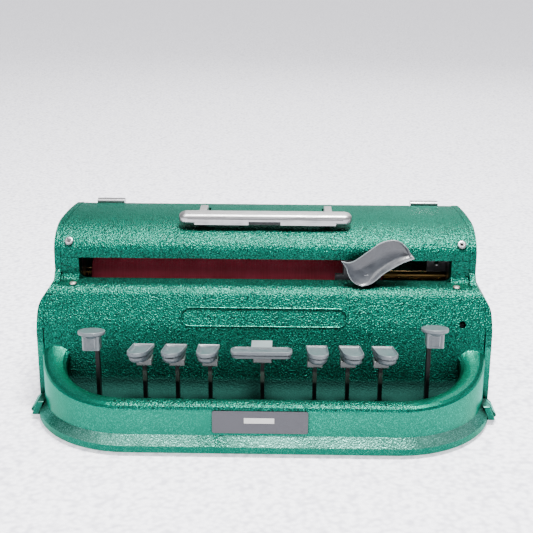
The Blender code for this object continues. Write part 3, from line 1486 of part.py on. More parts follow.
def dot_bars():
    """Six blades side by side, each with a foot on its own lever."""
    foot_bottom = KEY_SHAFT_HEIGHT + LEVER_HEIGHT / 2.0 + FIT_GAP
    for name, side in key_places():
        if not name.startswith("dot"):
            continue
        back = FIRST_BAR_BACK + BAR_PITCH * (int(name[-1]) - 1)
        half = BAR_FOOT_WIDTH / 2.0
        outline = [
            (-BAR_HALF_LENGTH, BAR_BOTTOM),
            (side - half, BAR_BOTTOM),
            (side - half, foot_bottom),
            (side + half, foot_bottom),
            (side + half, BAR_BOTTOM),
            (BAR_HALF_LENGTH, BAR_BOTTOM),
            (BAR_HALF_LENGTH, BAR_BOTTOM + BAR_HEIGHT),
            (-BAR_HALF_LENGTH, BAR_BOTTOM + BAR_HEIGHT),
        ]
        start = back - BAR_THICKNESS / 2.0
        blade = prism(outline, "Y", start, start + BAR_THICKNESS)
        make("bar_" + name, blade, "plated steel")


# Paper roller and the knob shaft that turns it

ROLLER_END_GAP = 0.007
ROLLER_LEFT = ROLLER_END_GAP - FRAME_INNER
ROLLER_RIGHT = 0.096
ROLLER_EDGE = 0.001
GEAR_TEETH = 24
GEAR_WIDTH = 0.0045
GEAR_OUTSIDE_FRAME = 0.004
GEAR_START = FRAME_INNER + GEAR_OUTSIDE_FRAME
TOOTH_TOP_SHARE = 0.22
TOOTH_FOOT_SHARE = 0.52
ADDENDUM_SHARE = 0.85
DEDENDUM_SHARE = 1.15
KNOB_RADIUS = 0.0125
KNOB_WIDTH = 0.0115
KNOB_FLUTES = 16
KNOB_FLUTE_DEPTH = 0.0006
# Place between the knob's inner and outer face, and radius, of each ring
KNOB_RING_SHARES = ((0.00, 0.80), (0.12, 0.96), (0.20, 1.00), (0.88, 0.97), (1.00, 0.86))


def gear_outline(centre, pitch_radius, first_tooth):
    """Outline of a spur gear with tapered teeth."""
    module = 2.0 * pitch_radius / GEAR_TEETH
    tip = pitch_radius + module * ADDENDUM_SHARE
    root = pitch_radius - module * DEDENDUM_SHARE
    pitch = 2.0 * math.pi / GEAR_TEETH
    outline = []
    for tooth in range(GEAR_TEETH):
        middle = first_tooth + tooth * pitch
        for radius, share in (
            (root, -TOOTH_FOOT_SHARE), (tip, -TOOTH_TOP_SHARE),
            (tip, TOOTH_TOP_SHARE), (root, TOOTH_FOOT_SHARE),
        ):
            angle = middle + pitch * share / 2.0
            outline.append((centre[0] + radius * math.cos(angle), centre[1] + radius * math.sin(angle)))
    return outline


def gears():
    """The meshed pair on the left, outside the side plate."""
    roller = Vector((ROLLER_BACK, ROLLER_HEIGHT))
    knob = Vector((KNOB_SHAFT_BACK, KNOB_SHAFT_HEIGHT))
    line = knob - roller
    angle = math.atan2(line.y, line.x)
    half_pitch = math.pi / GEAR_TEETH
    for name, centre, first in (
        ("roller_gear", roller, angle),
        ("knob_gear", knob, angle + math.pi + half_pitch),
    ):
        outline = gear_outline(centre, line.length / 2.0, first)
        gear = prism(outline, "X", -GEAR_START - GEAR_WIDTH, -GEAR_START)
        bore = bar("X", centre, SHAFT_RADIUS + FIT_GAP, -UPPER_HALF_WIDTH, 0.0, ROUND_STEPS)
        make(name, cut(gear, bore), "brass", pivot=(0.0, *centre))


def paper_roller():
    """Covered roller on its shaft, which runs on past the roller's right end."""
    centre = (ROLLER_BACK, ROLLER_HEIGHT)
    bore = SHAFT_RADIUS + FIT_GAP
    rings = []
    for along, radius in (
        (ROLLER_LEFT, bore), (ROLLER_LEFT, ROLLER_RADIUS - ROLLER_EDGE),
        (ROLLER_LEFT + ROLLER_EDGE, ROLLER_RADIUS), (ROLLER_RIGHT - ROLLER_EDGE, ROLLER_RADIUS),
        (ROLLER_RIGHT, ROLLER_RADIUS - ROLLER_EDGE), (ROLLER_RIGHT, bore),
    ):
        rings.append([place("X", along, pair) for pair in circle(centre, radius, FINE_STEPS)])
    pivot = (0.0, *centre)
    make("paper_roller", loft(rings, closed=True), "maroon rubber", pivot=pivot)
    shaft = bar(
        "X", centre, SHAFT_RADIUS, -GEAR_START - GEAR_WIDTH, end_of_rods(), ROUND_STEPS
    )
    make("roller_shaft", shaft, "brass", pivot=pivot)


def knob(name, side):
    """Fluted knob outside a side panel."""
    centre = (KNOB_SHAFT_BACK, KNOB_SHAFT_HEIGHT)
    inner = KNOB_END - KNOB_WIDTH
    rings = []
    for place_share, radius_share in KNOB_RING_SHARES:
        ring = []
        for step in range(2 * KNOB_FLUTES):
            angle = math.pi * step / KNOB_FLUTES
            radius = KNOB_RADIUS * radius_share - KNOB_FLUTE_DEPTH * (step % 2)
            ring.append(place(
                "X", mix(inner, KNOB_END, place_share),
                (centre[0] + radius * math.cos(angle), centre[1] + radius * math.sin(angle)),
            ))
        rings.append(ring)
    bore = bar(
        "X", centre, SHAFT_RADIUS + FIT_GAP, inner - OVERRUN,
        KNOB_END - SIDE_WALL, ROUND_STEPS,
    )
    make(name, on_side(side, cut(loft(rings), bore)), "dark grey plastic", pivot=(0.0, *centre))


def knob_shaft():
    """Shaft from knob to knob through both side plates and side panels."""
    centre = (KNOB_SHAFT_BACK, KNOB_SHAFT_HEIGHT)
    reach = KNOB_END - SIDE_WALL - FIT_GAP
    shaft = bar("X", centre, SHAFT_RADIUS, -reach, reach, ROUND_STEPS)
    make("knob_shaft", shaft, "plated steel", pivot=(0.0, *centre))
    knob("knob_left", -1)
    knob("knob_right", 1)


# Paper release: a rocking shaft that lifts the pressure rollers off the roller

PRESSURE_RADIUS = 0.006
PRESSURE_SHAFT_RADIUS = 0.002
PRESSURE_ANGLE = 30.0
PRESSURE_END_GAP = 0.004
PRESSURE_HALF_LENGTH = FRAME_INNER - PRESSURE_END_GAP
PRESSURE_PLACES = (-0.105, -0.035, 0.035, 0.085)
PRESSURE_WIDTH = 0.020
RELEASE_ARM_IN = 0.009
RELEASE_ARM_SIDE = FRAME_INNER - RELEASE_ARM_IN
RELEASE_ARM_WIDTH = 0.003
RELEASE_HUB_RADIUS = 0.005
PAD_BEHIND_LID = 0.0015
PAD_FRONT_BACK = LID_REAR_BACK + PAD_BEHIND_LID
PAD_DEPTH = 0.0095
PAD_BELOW_CREST = 0.006
PAD_BOTTOM = LID_CREST_HEIGHT - PAD_BELOW_CREST
PAD_THICKNESS = 0.0045
PAD_REAR_RADIUS = 0.0036
PAD_FRONT_RADIUS = 0.0018
PAD_STALK_IN = 0.016
PAD_STALK_SIDE = FRAME_INNER - PAD_STALK_IN
PAD_STALK_WIDTH = 0.007
PAD_STALK_DEPTH = 0.0035


def pressure_centre():
    """Axis of the pressure rollers, touching the paper roller from behind."""
    distance = ROLLER_RADIUS + PRESSURE_RADIUS + FIT_GAP
    angle = math.radians(PRESSURE_ANGLE)
    return (ROLLER_BACK + distance * math.cos(angle), ROLLER_HEIGHT + distance * math.sin(angle))


def pressure_roller():
    """Thin shaft with four rubber rollers."""
    centre = pressure_centre()
    profile = [(-PRESSURE_HALF_LENGTH, PRESSURE_SHAFT_RADIUS)]
    for side in PRESSURE_PLACES:
        start = side - PRESSURE_WIDTH / 2.0
        end = side + PRESSURE_WIDTH / 2.0
        profile += [
            (start, PRESSURE_SHAFT_RADIUS), (start, PRESSURE_RADIUS),
            (end, PRESSURE_RADIUS), (end, PRESSURE_SHAFT_RADIUS),
        ]
    profile.append((PRESSURE_HALF_LENGTH, PRESSURE_SHAFT_RADIUS))
    roller = turned(profile, "X", centre, SMALL_STEPS)
    make("pressure_roller", roller, "black rubber", pivot=(0.0, *centre))


def release_arm():
    """Arm on the right end of the release shaft that holds the pressure rollers."""
    hub = Vector((RELEASE_SHAFT_BACK, RELEASE_SHAFT_HEIGHT))
    tip = Vector(pressure_centre())
    along = (tip - hub).normalized()
    across = Vector((-along.y, along.x))
    wide = RELEASE_HUB_RADIUS
    narrow = PRESSURE_SHAFT_RADIUS * 2.0
    outline = [
        hub - along * wide + across * wide / 2.0,
        hub - along * wide / 2.0 + across * wide,
        tip + along * narrow / 2.0 + across * narrow,
        tip + along * narrow + across * narrow / 2.0,
        tip + along * narrow - across * narrow / 2.0,
        tip + along * narrow / 2.0 - across * narrow,
        hub - along * wide / 2.0 - across * wide,
        hub - along * wide - across * wide / 2.0,
    ]
    arm = prism(outline, "X", RELEASE_ARM_SIDE, RELEASE_ARM_SIDE + RELEASE_ARM_WIDTH)
    return cut(arm, bar("X", tip, PRESSURE_SHAFT_RADIUS + BORE_GAP, 0.0, LOWER_HALF_WIDTH))


def release_lever():
    """Finger lever that comes up through the paper slot behind the lid."""
    centre = (RELEASE_SHAFT_BACK, RELEASE_SHAFT_HEIGHT)
    right = PAD_STALK_SIDE + PAD_STALK_WIDTH
    hub = bar("X", centre, RELEASE_HUB_RADIUS, PAD_STALK_SIDE, right)
    low = (centre[0] + RELEASE_HUB_RADIUS / 2.0, centre[1])
    high = (PAD_FRONT_BACK + PAD_STALK_DEPTH, PAD_BOTTOM + PAD_THICKNESS / 2.0)
    knee = (high[0], mix(low[1], high[1], 0.5))
    depth = PAD_STALK_DEPTH
    outline = [
        low, (low[0], low[1] + depth), (knee[0], knee[1] + depth), high,
        (high[0] + depth, high[1]), (knee[0] + depth, knee[1]), (low[0] + depth, low[1]),
    ]
    stalk = prism(outline, "X", PAD_STALK_SIDE, right)
    corners = [
        (PAD_FRONT_BACK, PAD_BOTTOM), (PAD_FRONT_BACK + PAD_DEPTH, PAD_BOTTOM),
        (PAD_FRONT_BACK + PAD_DEPTH, PAD_BOTTOM + PAD_THICKNESS),
        (PAD_FRONT_BACK, PAD_BOTTOM + PAD_THICKNESS),
    ]
    radii = [0.0, 0.0, PAD_REAR_RADIUS, PAD_FRONT_RADIUS]
    pad = prism(rounded_path(corners, radii, closed=True), "X", RELEASE_PAD_LEFT, RELEASE_PAD_RIGHT)
    return union(hub, stalk, pad)


def paper_release():
    """Rocking shaft with two arms and two finger levers."""
    centre = (RELEASE_SHAFT_BACK, RELEASE_SHAFT_HEIGHT)
    reach = end_of_rods()
    shaft = bar("X", centre, RELEASE_SHAFT_RADIUS, -reach, reach)
    for half in (union(release_arm(), release_lever()), mirrored(union(release_arm(), release_lever()))):
        shaft = union(shaft, half)
    make("paper_release", shaft, "plated steel", pivot=(0.0, *centre))


# Carriage: block on two rods, embossing head and its finger lever

CARRIAGE_AHEAD_OF_ROD = 0.0045
CARRIAGE_FRONT_BACK = LOW_ROD_BACK - CARRIAGE_AHEAD_OF_ROD
CARRIAGE_DEPTH = 0.0165
CARRIAGE_BELOW_ROD = 0.0065
CARRIAGE_BOTTOM = LOW_ROD_HEIGHT - CARRIAGE_BELOW_ROD
CARRIAGE_ABOVE_ROD = 0.008
CARRIAGE_TOP = HIGH_ROD_HEIGHT + CARRIAGE_ABOVE_ROD
HEAD_IN = 0.003
HEAD_LEFT = CARRIAGE_LEFT + HEAD_IN
HEAD_WIDTH = 0.030
HEAD_SETBACK = 0.0009
HEAD_FRONT_BACK = CARRIAGE_FRONT_BACK + HEAD_SETBACK
HEAD_ABOVE_SILL = 0.018
HEAD_TOP = SLOT_SILL + HEAD_ABOVE_SILL
HEAD_ARM_THICKNESS = 0.006
NOSE_WIDTH = 0.011
NOSE_DROP = 0.0014
NOSE_GAP = 0.0006
LUG_BLOCK_LENGTH = 0.0067
LUG_BLOCK_RISE = 0.0032
LUG_BLOCK_BOTTOM = CARRIAGE_TOP + LUG_BLOCK_RISE
LUG_BLOCK_HEIGHT = 0.0062
LUG_BLOCK_DEPTH = 0.0055
RACK_AHEAD_OF_ROD = 0.0084
RACK_BACK = LOW_ROD_BACK - RACK_AHEAD_OF_ROD
RACK_DEPTH = 0.0028
RACK_BELOW_ROD = 0.005
RACK_BOTTOM = LOW_ROD_HEIGHT - RACK_BELOW_ROD
RACK_BODY = 0.005
RACK_TOOTH = 0.0025
CELL_PITCH = 0.00635
# Place in a cell and height of each corner of a rack tooth, from right to left
RACK_TOOTH_SHARES = ((0.90, 0.0), (0.80, 1.0), (0.20, 0.0))
PIN_BEHIND_HEAD_FACE = 0.0056
LEVER_PIN_BACK = HEAD_FRONT_BACK + PIN_BEHIND_HEAD_FACE
PIN_ABOVE_SILL = 0.006
LEVER_PIN_HEIGHT = SLOT_SILL + PIN_ABOVE_SILL
LEVER_PIN_RADIUS = 0.0018
LEVER_PIN_HALF = 0.0095
LEVER_ARM_FROM_RIGHT = 0.015
LEVER_ARM_LEFT = HEAD_LEFT + HEAD_WIDTH - LEVER_ARM_FROM_RIGHT
LEVER_ARM_WIDTH = 0.010
LEVER_ARM_THICKNESS = 0.0045
CLEVIS_GAP = 0.0008


def carriage():
    """Block that slides on the rods, with the embossing head on it."""
    right = CARRIAGE_LEFT + CARRIAGE_WIDTH
    block = box(
        (CARRIAGE_LEFT, right),
        (CARRIAGE_FRONT_BACK, CARRIAGE_FRONT_BACK + CARRIAGE_DEPTH),
        (CARRIAGE_BOTTOM, CARRIAGE_TOP),
    )
    for centre in ((LOW_ROD_BACK, LOW_ROD_HEIGHT), (HIGH_ROD_BACK, HIGH_ROD_HEIGHT)):
        bore = bar("X", centre, ROD_RADIUS + BORE_GAP, 0.0, LOWER_HALF_WIDTH, SMALL_STEPS)
        block = cut(block, bore)
    make("carriage_block", block, "black steel")


def embossing_head():
    """Head over the roller, with the clevis of its lever and a small lug."""
    rear = CARRIAGE_FRONT_BACK + CARRIAGE_DEPTH
    bottom = CARRIAGE_TOP + FIT_GAP
    under = HEAD_TOP - HEAD_ARM_THICKNESS
    roller_top = ROLLER_HEIGHT + ROLLER_RADIUS
    tip = roller_top + NOSE_GAP
    nose_front = ROLLER_BACK - NOSE_WIDTH / 2.0
    nose_rear = ROLLER_BACK + NOSE_WIDTH / 2.0
    outline = [
        (HEAD_FRONT_BACK, bottom),
        (rear, bottom),
        (rear, under),
        (nose_front - NOSE_DROP, under),
        (nose_front, tip),
        (nose_rear, tip),
        (nose_rear, HEAD_TOP),
        (HEAD_FRONT_BACK, HEAD_TOP),
    ]
    head = prism(outline, "X", HEAD_LEFT, HEAD_LEFT + HEAD_WIDTH)
    lug = box(
        (HEAD_LEFT - LUG_BLOCK_LENGTH, HEAD_LEFT + FIT_GAP),
        (HEAD_FRONT_BACK, HEAD_FRONT_BACK + LUG_BLOCK_DEPTH),
        (LUG_BLOCK_BOTTOM, LUG_BLOCK_BOTTOM + LUG_BLOCK_HEIGHT),
    )
    boss = LEVER_ARM_THICKNESS
    clevis = box(
        (LEVER_ARM_LEFT - CLEVIS_GAP, LEVER_ARM_LEFT + LEVER_ARM_WIDTH + CLEVIS_GAP),
        (HEAD_FRONT_BACK - OVERRUN, LEVER_PIN_BACK + boss + CLEVIS_GAP),
        (LEVER_PIN_HEIGHT - boss - CLEVIS_GAP, LEVER_PIN_HEIGHT + boss + CLEVIS_GAP),
    )
    pin_bore = bar(
        "X", (LEVER_PIN_BACK, LEVER_PIN_HEIGHT), LEVER_PIN_RADIUS + BORE_GAP,
        0.0, LOWER_HALF_WIDTH,
    )
    make("embossing_head", cut(union(head, lug), clevis, pin_bore), "satin metal")


PLATE_RIGHT_OF_ARM = 0.0092
PLATE_CENTRE_SIDE = LEVER_ARM_LEFT + PLATE_RIGHT_OF_ARM
PLATE_ABOVE_PIN = 0.0123
PLATE_CENTRE_HEIGHT = LEVER_PIN_HEIGHT + PLATE_ABOVE_PIN
PLATE_HALF_SPAN = 0.0283
PLATE_HALF_RISE = 0.0185
PLATE_THICKNESS = 0.0024
PLATE_LOW_AHEAD = 0.0167
PLATE_LOW_BACK = SLOT_BACK - PLATE_LOW_AHEAD
PLATE_HIGH_AHEAD = 0.0079
PLATE_HIGH_BACK = SLOT_BACK - PLATE_HIGH_AHEAD
PLATE_DISH = 0.0030
PLATE_LONG_STEPS = 12
PLATE_CROSS_STEPS = 5
# Edges of the finger plate seen from the front, as shares of its half sizes
PLATE_UPPER_SHARES = (
    (-1.00, 0.05), (-0.72, 0.03), (-0.50, 0.18), (-0.27, 0.43), (0.00, 0.71),
    (0.26, 0.89), (0.46, 0.93), (0.62, 0.82),
)
PLATE_LOWER_SHARES = (
    (-0.42, -0.98), (-0.24, -0.94), (-0.07, -0.78), (0.10, -0.56), (0.36, -0.30),
    (0.63, -0.07), (0.90, 0.09), (1.03, 0.16),
)
PLATE_LEFT_SHARES = ((-1.00, 0.05), (-0.86, -0.20), (-0.78, -0.46), (-0.70, -0.70), (-0.42, -0.98))
PLATE_RIGHT_SHARES = ((0.62, 0.82), (0.76, 0.60), (0.90, 0.38), (1.03, 0.16))


def along_shares(shares, part):
    """The point a part of the way along a list of points."""
    position = part * (len(shares) - 1)
    index = min(int(position), len(shares) - 2)
    rest = position - index
    return tuple(mix(a, b, rest) for a, b in zip(shares[index], shares[index + 1]))


def plate_point(across, along):
    """Middle of the finger plate: a patch between its four edges."""
    upper = along_shares(PLATE_UPPER_SHARES, along)
    lower = along_shares(PLATE_LOWER_SHARES, along)
    left = along_shares(PLATE_LEFT_SHARES, across)
    right = along_shares(PLATE_RIGHT_SHARES, across)
    corners = (
        PLATE_UPPER_SHARES[0], PLATE_UPPER_SHARES[-1], PLATE_LOWER_SHARES[0], PLATE_LOWER_SHARES[-1],
    )
    point = []
    for axis in range(2):
        edges = mix(upper[axis], lower[axis], across) + mix(left[axis], right[axis], along)
        flat = mix(
            mix(corners[0][axis], corners[1][axis], along),
            mix(corners[2][axis], corners[3][axis], along), across,
        )
        point.append(edges - flat)
    back = mix(PLATE_LOW_BACK, PLATE_HIGH_BACK, (point[1] + 1.0) / 2.0)
    dish = 4.0 * across * (1.0 - across)
    return Vector((
        PLATE_CENTRE_SIDE + PLATE_HALF_SPAN * point[0],
        back + PLATE_DISH * dish,
        PLATE_CENTRE_HEIGHT + PLATE_HALF_RISE * point[1],
    ))


def finger_plate():
    """Curved, dished plate of the head's lever."""
    rings = []
    for long_step in range(PLATE_LONG_STEPS + 1):
        along = long_step / PLATE_LONG_STEPS
        face = [
            plate_point(cross_step / PLATE_CROSS_STEPS, along)
            for cross_step in range(PLATE_CROSS_STEPS + 1)
        ]
        behind = [point + Vector((0.0, PLATE_THICKNESS, 0.0)) for point in face[::-1]]
        rings.append(face + behind)
    return loft(rings)


def head_lever():
    """Finger lever in front of the lid, on its cross pin in the head."""
    pin = (LEVER_PIN_BACK, LEVER_PIN_HEIGHT)
    middle = LEVER_ARM_LEFT + LEVER_ARM_WIDTH / 2.0
    half = LEVER_ARM_THICKNESS / 2.0
    right = LEVER_ARM_LEFT + LEVER_ARM_WIDTH
    boss = bar("X", pin, LEVER_ARM_THICKNESS, LEVER_ARM_LEFT, right)
    share = (LEVER_PIN_HEIGHT - PLATE_CENTRE_HEIGHT + PLATE_HALF_RISE) / (2.0 * PLATE_HALF_RISE)
    front = mix(PLATE_LOW_BACK, PLATE_HIGH_BACK, share) + PLATE_DISH / 2.0 + PLATE_THICKNESS / 2.0
    arm = box((LEVER_ARM_LEFT, right), (front, LEVER_PIN_BACK), (pin[1] - half, pin[1] + half))
    cross_pin = bar("X", pin, LEVER_PIN_RADIUS, middle - LEVER_PIN_HALF, middle + LEVER_PIN_HALF)
    lever = union(finger_plate(), arm, boss, cross_pin)
    make("head_lever", lever, "dark grey plastic", pivot=(middle, *pin))


def rods_and_rack():
    """Two rods that carry the carriage, and the rack that spaces the cells."""
    reach = end_of_rods()
    for name, centre in (
        ("carriage_rod_low", (LOW_ROD_BACK, LOW_ROD_HEIGHT)),
        ("carriage_rod_high", (HIGH_ROD_BACK, HIGH_ROD_HEIGHT)),
    ):
        make(name, bar("X", centre, ROD_RADIUS, -reach, reach), "plated steel")
    side = FRAME_INNER - FIT_GAP
    body_top = RACK_BOTTOM + RACK_BODY
    teeth = int(2.0 * side / CELL_PITCH) - 1
    start = -teeth * CELL_PITCH / 2.0
    outline = [(-side, body_top), (-side, RACK_BOTTOM), (side, RACK_BOTTOM), (side, body_top)]
    for tooth in range(teeth, 0, -1):
        left = start + (tooth - 1) * CELL_PITCH
        for place_share, height_share in RACK_TOOTH_SHARES:
            outline.append((left + CELL_PITCH * place_share, body_top + RACK_TOOTH * height_share))
    rack = prism(outline, "Y", RACK_BACK, RACK_BACK + RACK_DEPTH)
    make("spacing_rack", rack, "plated steel")


# Margin bell

BELL_RADIUS = 0.014
BELL_RISE = 0.041
BELL_TOP = CASE_BOTTOM + BELL_RISE
BELL_HEIGHT = 0.010
BELL_RIM = BELL_TOP - BELL_HEIGHT
BELL_WALL = 0.0012
BELL_POST_RADIUS = 0.002
HAMMER_BELOW_TOP = 0.008
HAMMER_HEIGHT = BELL_TOP - HAMMER_BELOW_TOP
HAMMER_THICKNESS = 0.004
HAMMER_HUB_RADIUS = 0.004
HAMMER_BALL_RADIUS = 0.003
HAMMER_GAP = 0.0008
BELL_DOME_STEPS = 5
BELL_DOME_SHARE = 0.9


def bell():
    """Round bell on a post that stands on the base plate."""
    centre = (BELL_SIDE, BELL_BACK)
    foot = CASE_BOTTOM + FIT_GAP + BASE_SHEET + FIT_GAP
    rise = BELL_TOP - BELL_RIM
    outer = []
    inner = []
    for step in range(BELL_DOME_STEPS + 1):
        angle = math.pi / 2.0 * BELL_DOME_SHARE * step / BELL_DOME_STEPS
        outer.append((BELL_RIM + rise * math.sin(angle), BELL_RADIUS * math.cos(angle)))
        inner.append((
            BELL_RIM + (rise - BELL_WALL) * math.sin(angle), (BELL_RADIUS - BELL_WALL) * math.cos(angle)
        ))
    profile = [(foot, BELL_POST_RADIUS)]
    profile += [(inner[-1][0], BELL_POST_RADIUS)] + inner[::-1] + outer
    make("bell", turned(profile, "Z", centre, ROUND_STEPS), "brass")


def bell_hammer():
    """Small hammer that swings on its post against the bell's rim."""
    pivot = (BELL_SIDE + HAMMER_REACH, BELL_BACK)
    low = HAMMER_HEIGHT
    high = HAMMER_HEIGHT + HAMMER_THICKNESS
    hub = bar("Z", pivot, HAMMER_HUB_RADIUS, low, high)
    ball_side = BELL_SIDE + BELL_RADIUS + HAMMER_BALL_RADIUS + HAMMER_GAP
    ball_back = BELL_BACK - HAMMER_HUB_RADIUS * 2.0
    arm_width = HAMMER_BALL_RADIUS / 2.0
    arm = prism(
        [
            (pivot[0] - arm_width, pivot[1]), (ball_side - arm_width, ball_back),
            (ball_side + arm_width, ball_back), (pivot[0] + arm_width, pivot[1]),
        ],
        "Z", mix(low, high, 0.25), mix(low, high, 0.75),
    )
    ball = bar("Z", (ball_side, ball_back), HAMMER_BALL_RADIUS, mix(low, high, 0.05), mix(low, high, 0.95))
    hammer = cut(union(hub, arm, ball), bar("Z", pivot, HAMMER_POST_RADIUS + BORE_GAP, 0.0, HAMMER_POST_TOP))
    make("bell_hammer", hammer, "plated steel", pivot=(pivot[0], pivot[1], low))


clear_scene()
materials = {name: finish(name, *look) for name, look in FINISHES.items()}
machine = bpy.data.objects.new("typewriter", None)
bpy.context.scene.collection.objects.link(machine)
machine.location = (0.0, -CASE_DEPTH / 2.0, 0.0)

front_cover()
side_panel("side_panel_left", -1)
side_panel("side_panel_right", 1)
back_panel()
top_cover()
base_plate()
rubber_feet()
screws()
label_plate()
carrying_handle()
side_frame("side_frame_left", -1)
side_frame("side_frame_right", 1)
keys()
dot_bars()
paper_roller()
gears()
knob_shaft()
pressure_roller()
paper_release()
carriage()
embossing_head()
head_lever()
rods_and_rack()
bell()
bell_hammer()
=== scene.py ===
"""Looks of a braille typewriter with six dot keys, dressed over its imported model."""

import json
import math

import bmesh
import bpy
from mathutils import Matrix, Vector

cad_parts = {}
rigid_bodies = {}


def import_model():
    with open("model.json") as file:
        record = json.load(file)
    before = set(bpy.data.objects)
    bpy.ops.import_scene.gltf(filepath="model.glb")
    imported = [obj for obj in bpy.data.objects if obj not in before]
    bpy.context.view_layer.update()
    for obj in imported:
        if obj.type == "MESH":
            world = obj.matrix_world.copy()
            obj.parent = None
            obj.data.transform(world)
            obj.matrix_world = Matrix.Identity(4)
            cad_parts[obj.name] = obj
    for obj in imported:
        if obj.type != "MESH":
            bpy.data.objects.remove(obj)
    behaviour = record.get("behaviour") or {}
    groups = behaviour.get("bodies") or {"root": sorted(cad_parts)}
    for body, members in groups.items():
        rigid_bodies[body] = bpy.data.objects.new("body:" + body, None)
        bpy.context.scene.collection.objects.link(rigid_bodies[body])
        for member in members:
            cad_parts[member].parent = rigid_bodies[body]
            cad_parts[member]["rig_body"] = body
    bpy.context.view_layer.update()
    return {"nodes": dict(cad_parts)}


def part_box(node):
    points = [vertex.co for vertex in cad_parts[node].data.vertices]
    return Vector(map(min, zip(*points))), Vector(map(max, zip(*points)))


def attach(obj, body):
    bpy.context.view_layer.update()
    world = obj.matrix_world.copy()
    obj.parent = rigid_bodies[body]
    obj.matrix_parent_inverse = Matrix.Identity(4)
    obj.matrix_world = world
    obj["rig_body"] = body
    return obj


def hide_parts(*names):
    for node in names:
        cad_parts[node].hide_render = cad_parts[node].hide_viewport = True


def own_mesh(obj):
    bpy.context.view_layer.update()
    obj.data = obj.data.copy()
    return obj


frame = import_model()

# Camera
# It stands in front of the machine, a little right of its middle and well above
# it, looking down at the keys through a long lens.
IMAGE_SIDE = 533
FOCAL_PIXELS = 1050
SENSOR_SIDE = 36.0
CAMERA_PLACE = Vector((0.01553, -0.79837, 0.36575))
CAMERA_YAW = 0.01768
CAMERA_PITCH = 0.31036
CAMERA_ROLL = 0.00506


def put(name, data, place=None):
    """A new object in the scene, stood at a place if one is given."""
    made = bpy.data.objects.new(name, data)
    if place is not None:
        made.matrix_world = place
    bpy.context.scene.collection.objects.link(made)
    return made


forward = Vector((
    -math.sin(CAMERA_YAW) * math.cos(CAMERA_PITCH),
    math.cos(CAMERA_YAW) * math.cos(CAMERA_PITCH),
    -math.sin(CAMERA_PITCH),
))
level_right = Vector((math.cos(CAMERA_YAW), math.sin(CAMERA_YAW), 0.0))
level_up = level_right.cross(forward)
right = level_right * math.cos(CAMERA_ROLL) + level_up * math.sin(CAMERA_ROLL)
upward = level_up * math.cos(CAMERA_ROLL) - level_right * math.sin(CAMERA_ROLL)
lens = bpy.data.cameras.new("photo_camera")
lens.sensor_width = SENSOR_SIDE
lens.lens = SENSOR_SIDE * FOCAL_PIXELS / IMAGE_SIDE
camera_turn = Matrix((right, upward, -forward)).transposed()
camera = put("photo_camera", lens, Matrix.Translation(CAMERA_PLACE) @ camera_turn.to_4x4())
bpy.context.scene.camera = camera

# Bench and lights
# A small soft panel hangs over the wide white bench of pressed foam beads, and two
# wider, weaker ones stand before and behind the machine in a pale room.
BENCH_SIDE = 24.0
BENCH_PALE = (0.56, 0.55, 0.61, 1.0)
BENCH_WHITE = (0.88, 0.87, 0.92, 1.0)
BENCH_GLOW = 1.22
BENCH_ROUGHNESS = 0.85
BEADS_PER_METRE = 260.0
BEAD_HEIGHT = 0.0015
BEAD_SEAM_SPAN = (0.3, 0.75)
ROOM_COLOUR = (0.93, 0.93, 0.97, 1.0)
ROOM_STRENGTH = 0.54
# Place, width in metres and power in watts
SOFT_PANELS = {
    "panel_over": (Vector((0.15, -0.20, 1.5)), 0.5, 88.0),
    "panel_front": (Vector((-0.8, -1.5, 1.6)), 0.8, 16.0),
    "panel_rear": (Vector((0.3, 1.5, 1.2)), 1.2, 20.0),
}
LIT_PLACE = Vector((0.0, 0.0, 0.08))


def add(tree, kind, inputs=None, **settings):
    """Add a node whose inputs are given as values or as the outputs that feed them."""
    node = tree.nodes.new("ShaderNode" + kind)
    # Settings come first, because a group has its inputs only once its tree is set
    for setting, value in settings.items():
        setattr(node, setting, value)
    for socket, value in (inputs or {}).items():
        if isinstance(value, bpy.types.NodeSocket):
            tree.links.new(value, node.inputs[socket])
        else:
            node.inputs[socket].default_value = value
    return node


def new_material(name, numbers):
    """A material's tree, its shader with its even numbers set, and its coordinates."""
    material = bpy.data.materials.new(name)
    material.use_nodes = True
    tree = material.node_tree
    shader = tree.nodes["Principled BSDF"]
    for socket, value in numbers.items():
        shader.inputs[socket].default_value = value
    place = add(tree, "TexCoord").outputs["Object"]
    return material, tree, shader, place


def feed(tree, shader, **outputs):
    """Connect colour, roughness, metal, coat, glow or relief to a material's shader."""
    sockets = {
        "colour": "Base Color", "roughness": "Roughness", "relief": "Normal", "coat_relief": "Coat Normal",
        "glow": "Emission Color", "metal": "Metallic", "coat": "Coat Weight",
    }
    for name, output in outputs.items():
        tree.links.new(output, shader.inputs[sockets[name]])


def between(tree, mask, plain, other):
    """A colour that goes from plain to other as the mask goes from 0 to 1."""
    return add(tree, "Mix", {0: mask, 6: plain, 7: other}, data_type="RGBA").outputs[2]


def stretch(tree, value, low, high, start=0.0, end=1.0):
    """A value stretched from one span to another and held inside it."""
    inputs = {"Value": value, "From Min": low, "From Max": high, "To Min": start, "To Max": end}
    return add(tree, "MapRange", inputs).outputs["Result"]


def blend(tree, mask, start, end):
    """A value that goes from start to end as the mask goes from 0 to 1."""
    return stretch(tree, mask, 0.0, 1.0, start, end)


def sum_of(tree, first, second, share):
    """The first value plus a share of the second."""
    inputs = {0: second, 1: share, 2: first}
    return add(tree, "Math", inputs, operation="MULTIPLY_ADD").outputs[0]


def product(tree, *values):
    """All the values multiplied."""
    result = values[0]
    for value in values[1:]:
        result = add(tree, "Math", {0: result, 1: value}, operation="MULTIPLY").outputs[0]
    return result


def relief(tree, height, distance):
    """Normals of a surface raised by a height."""
    return add(tree, "Bump", {"Height": height, "Distance": distance, "Strength": 1.0}).outputs["Normal"]


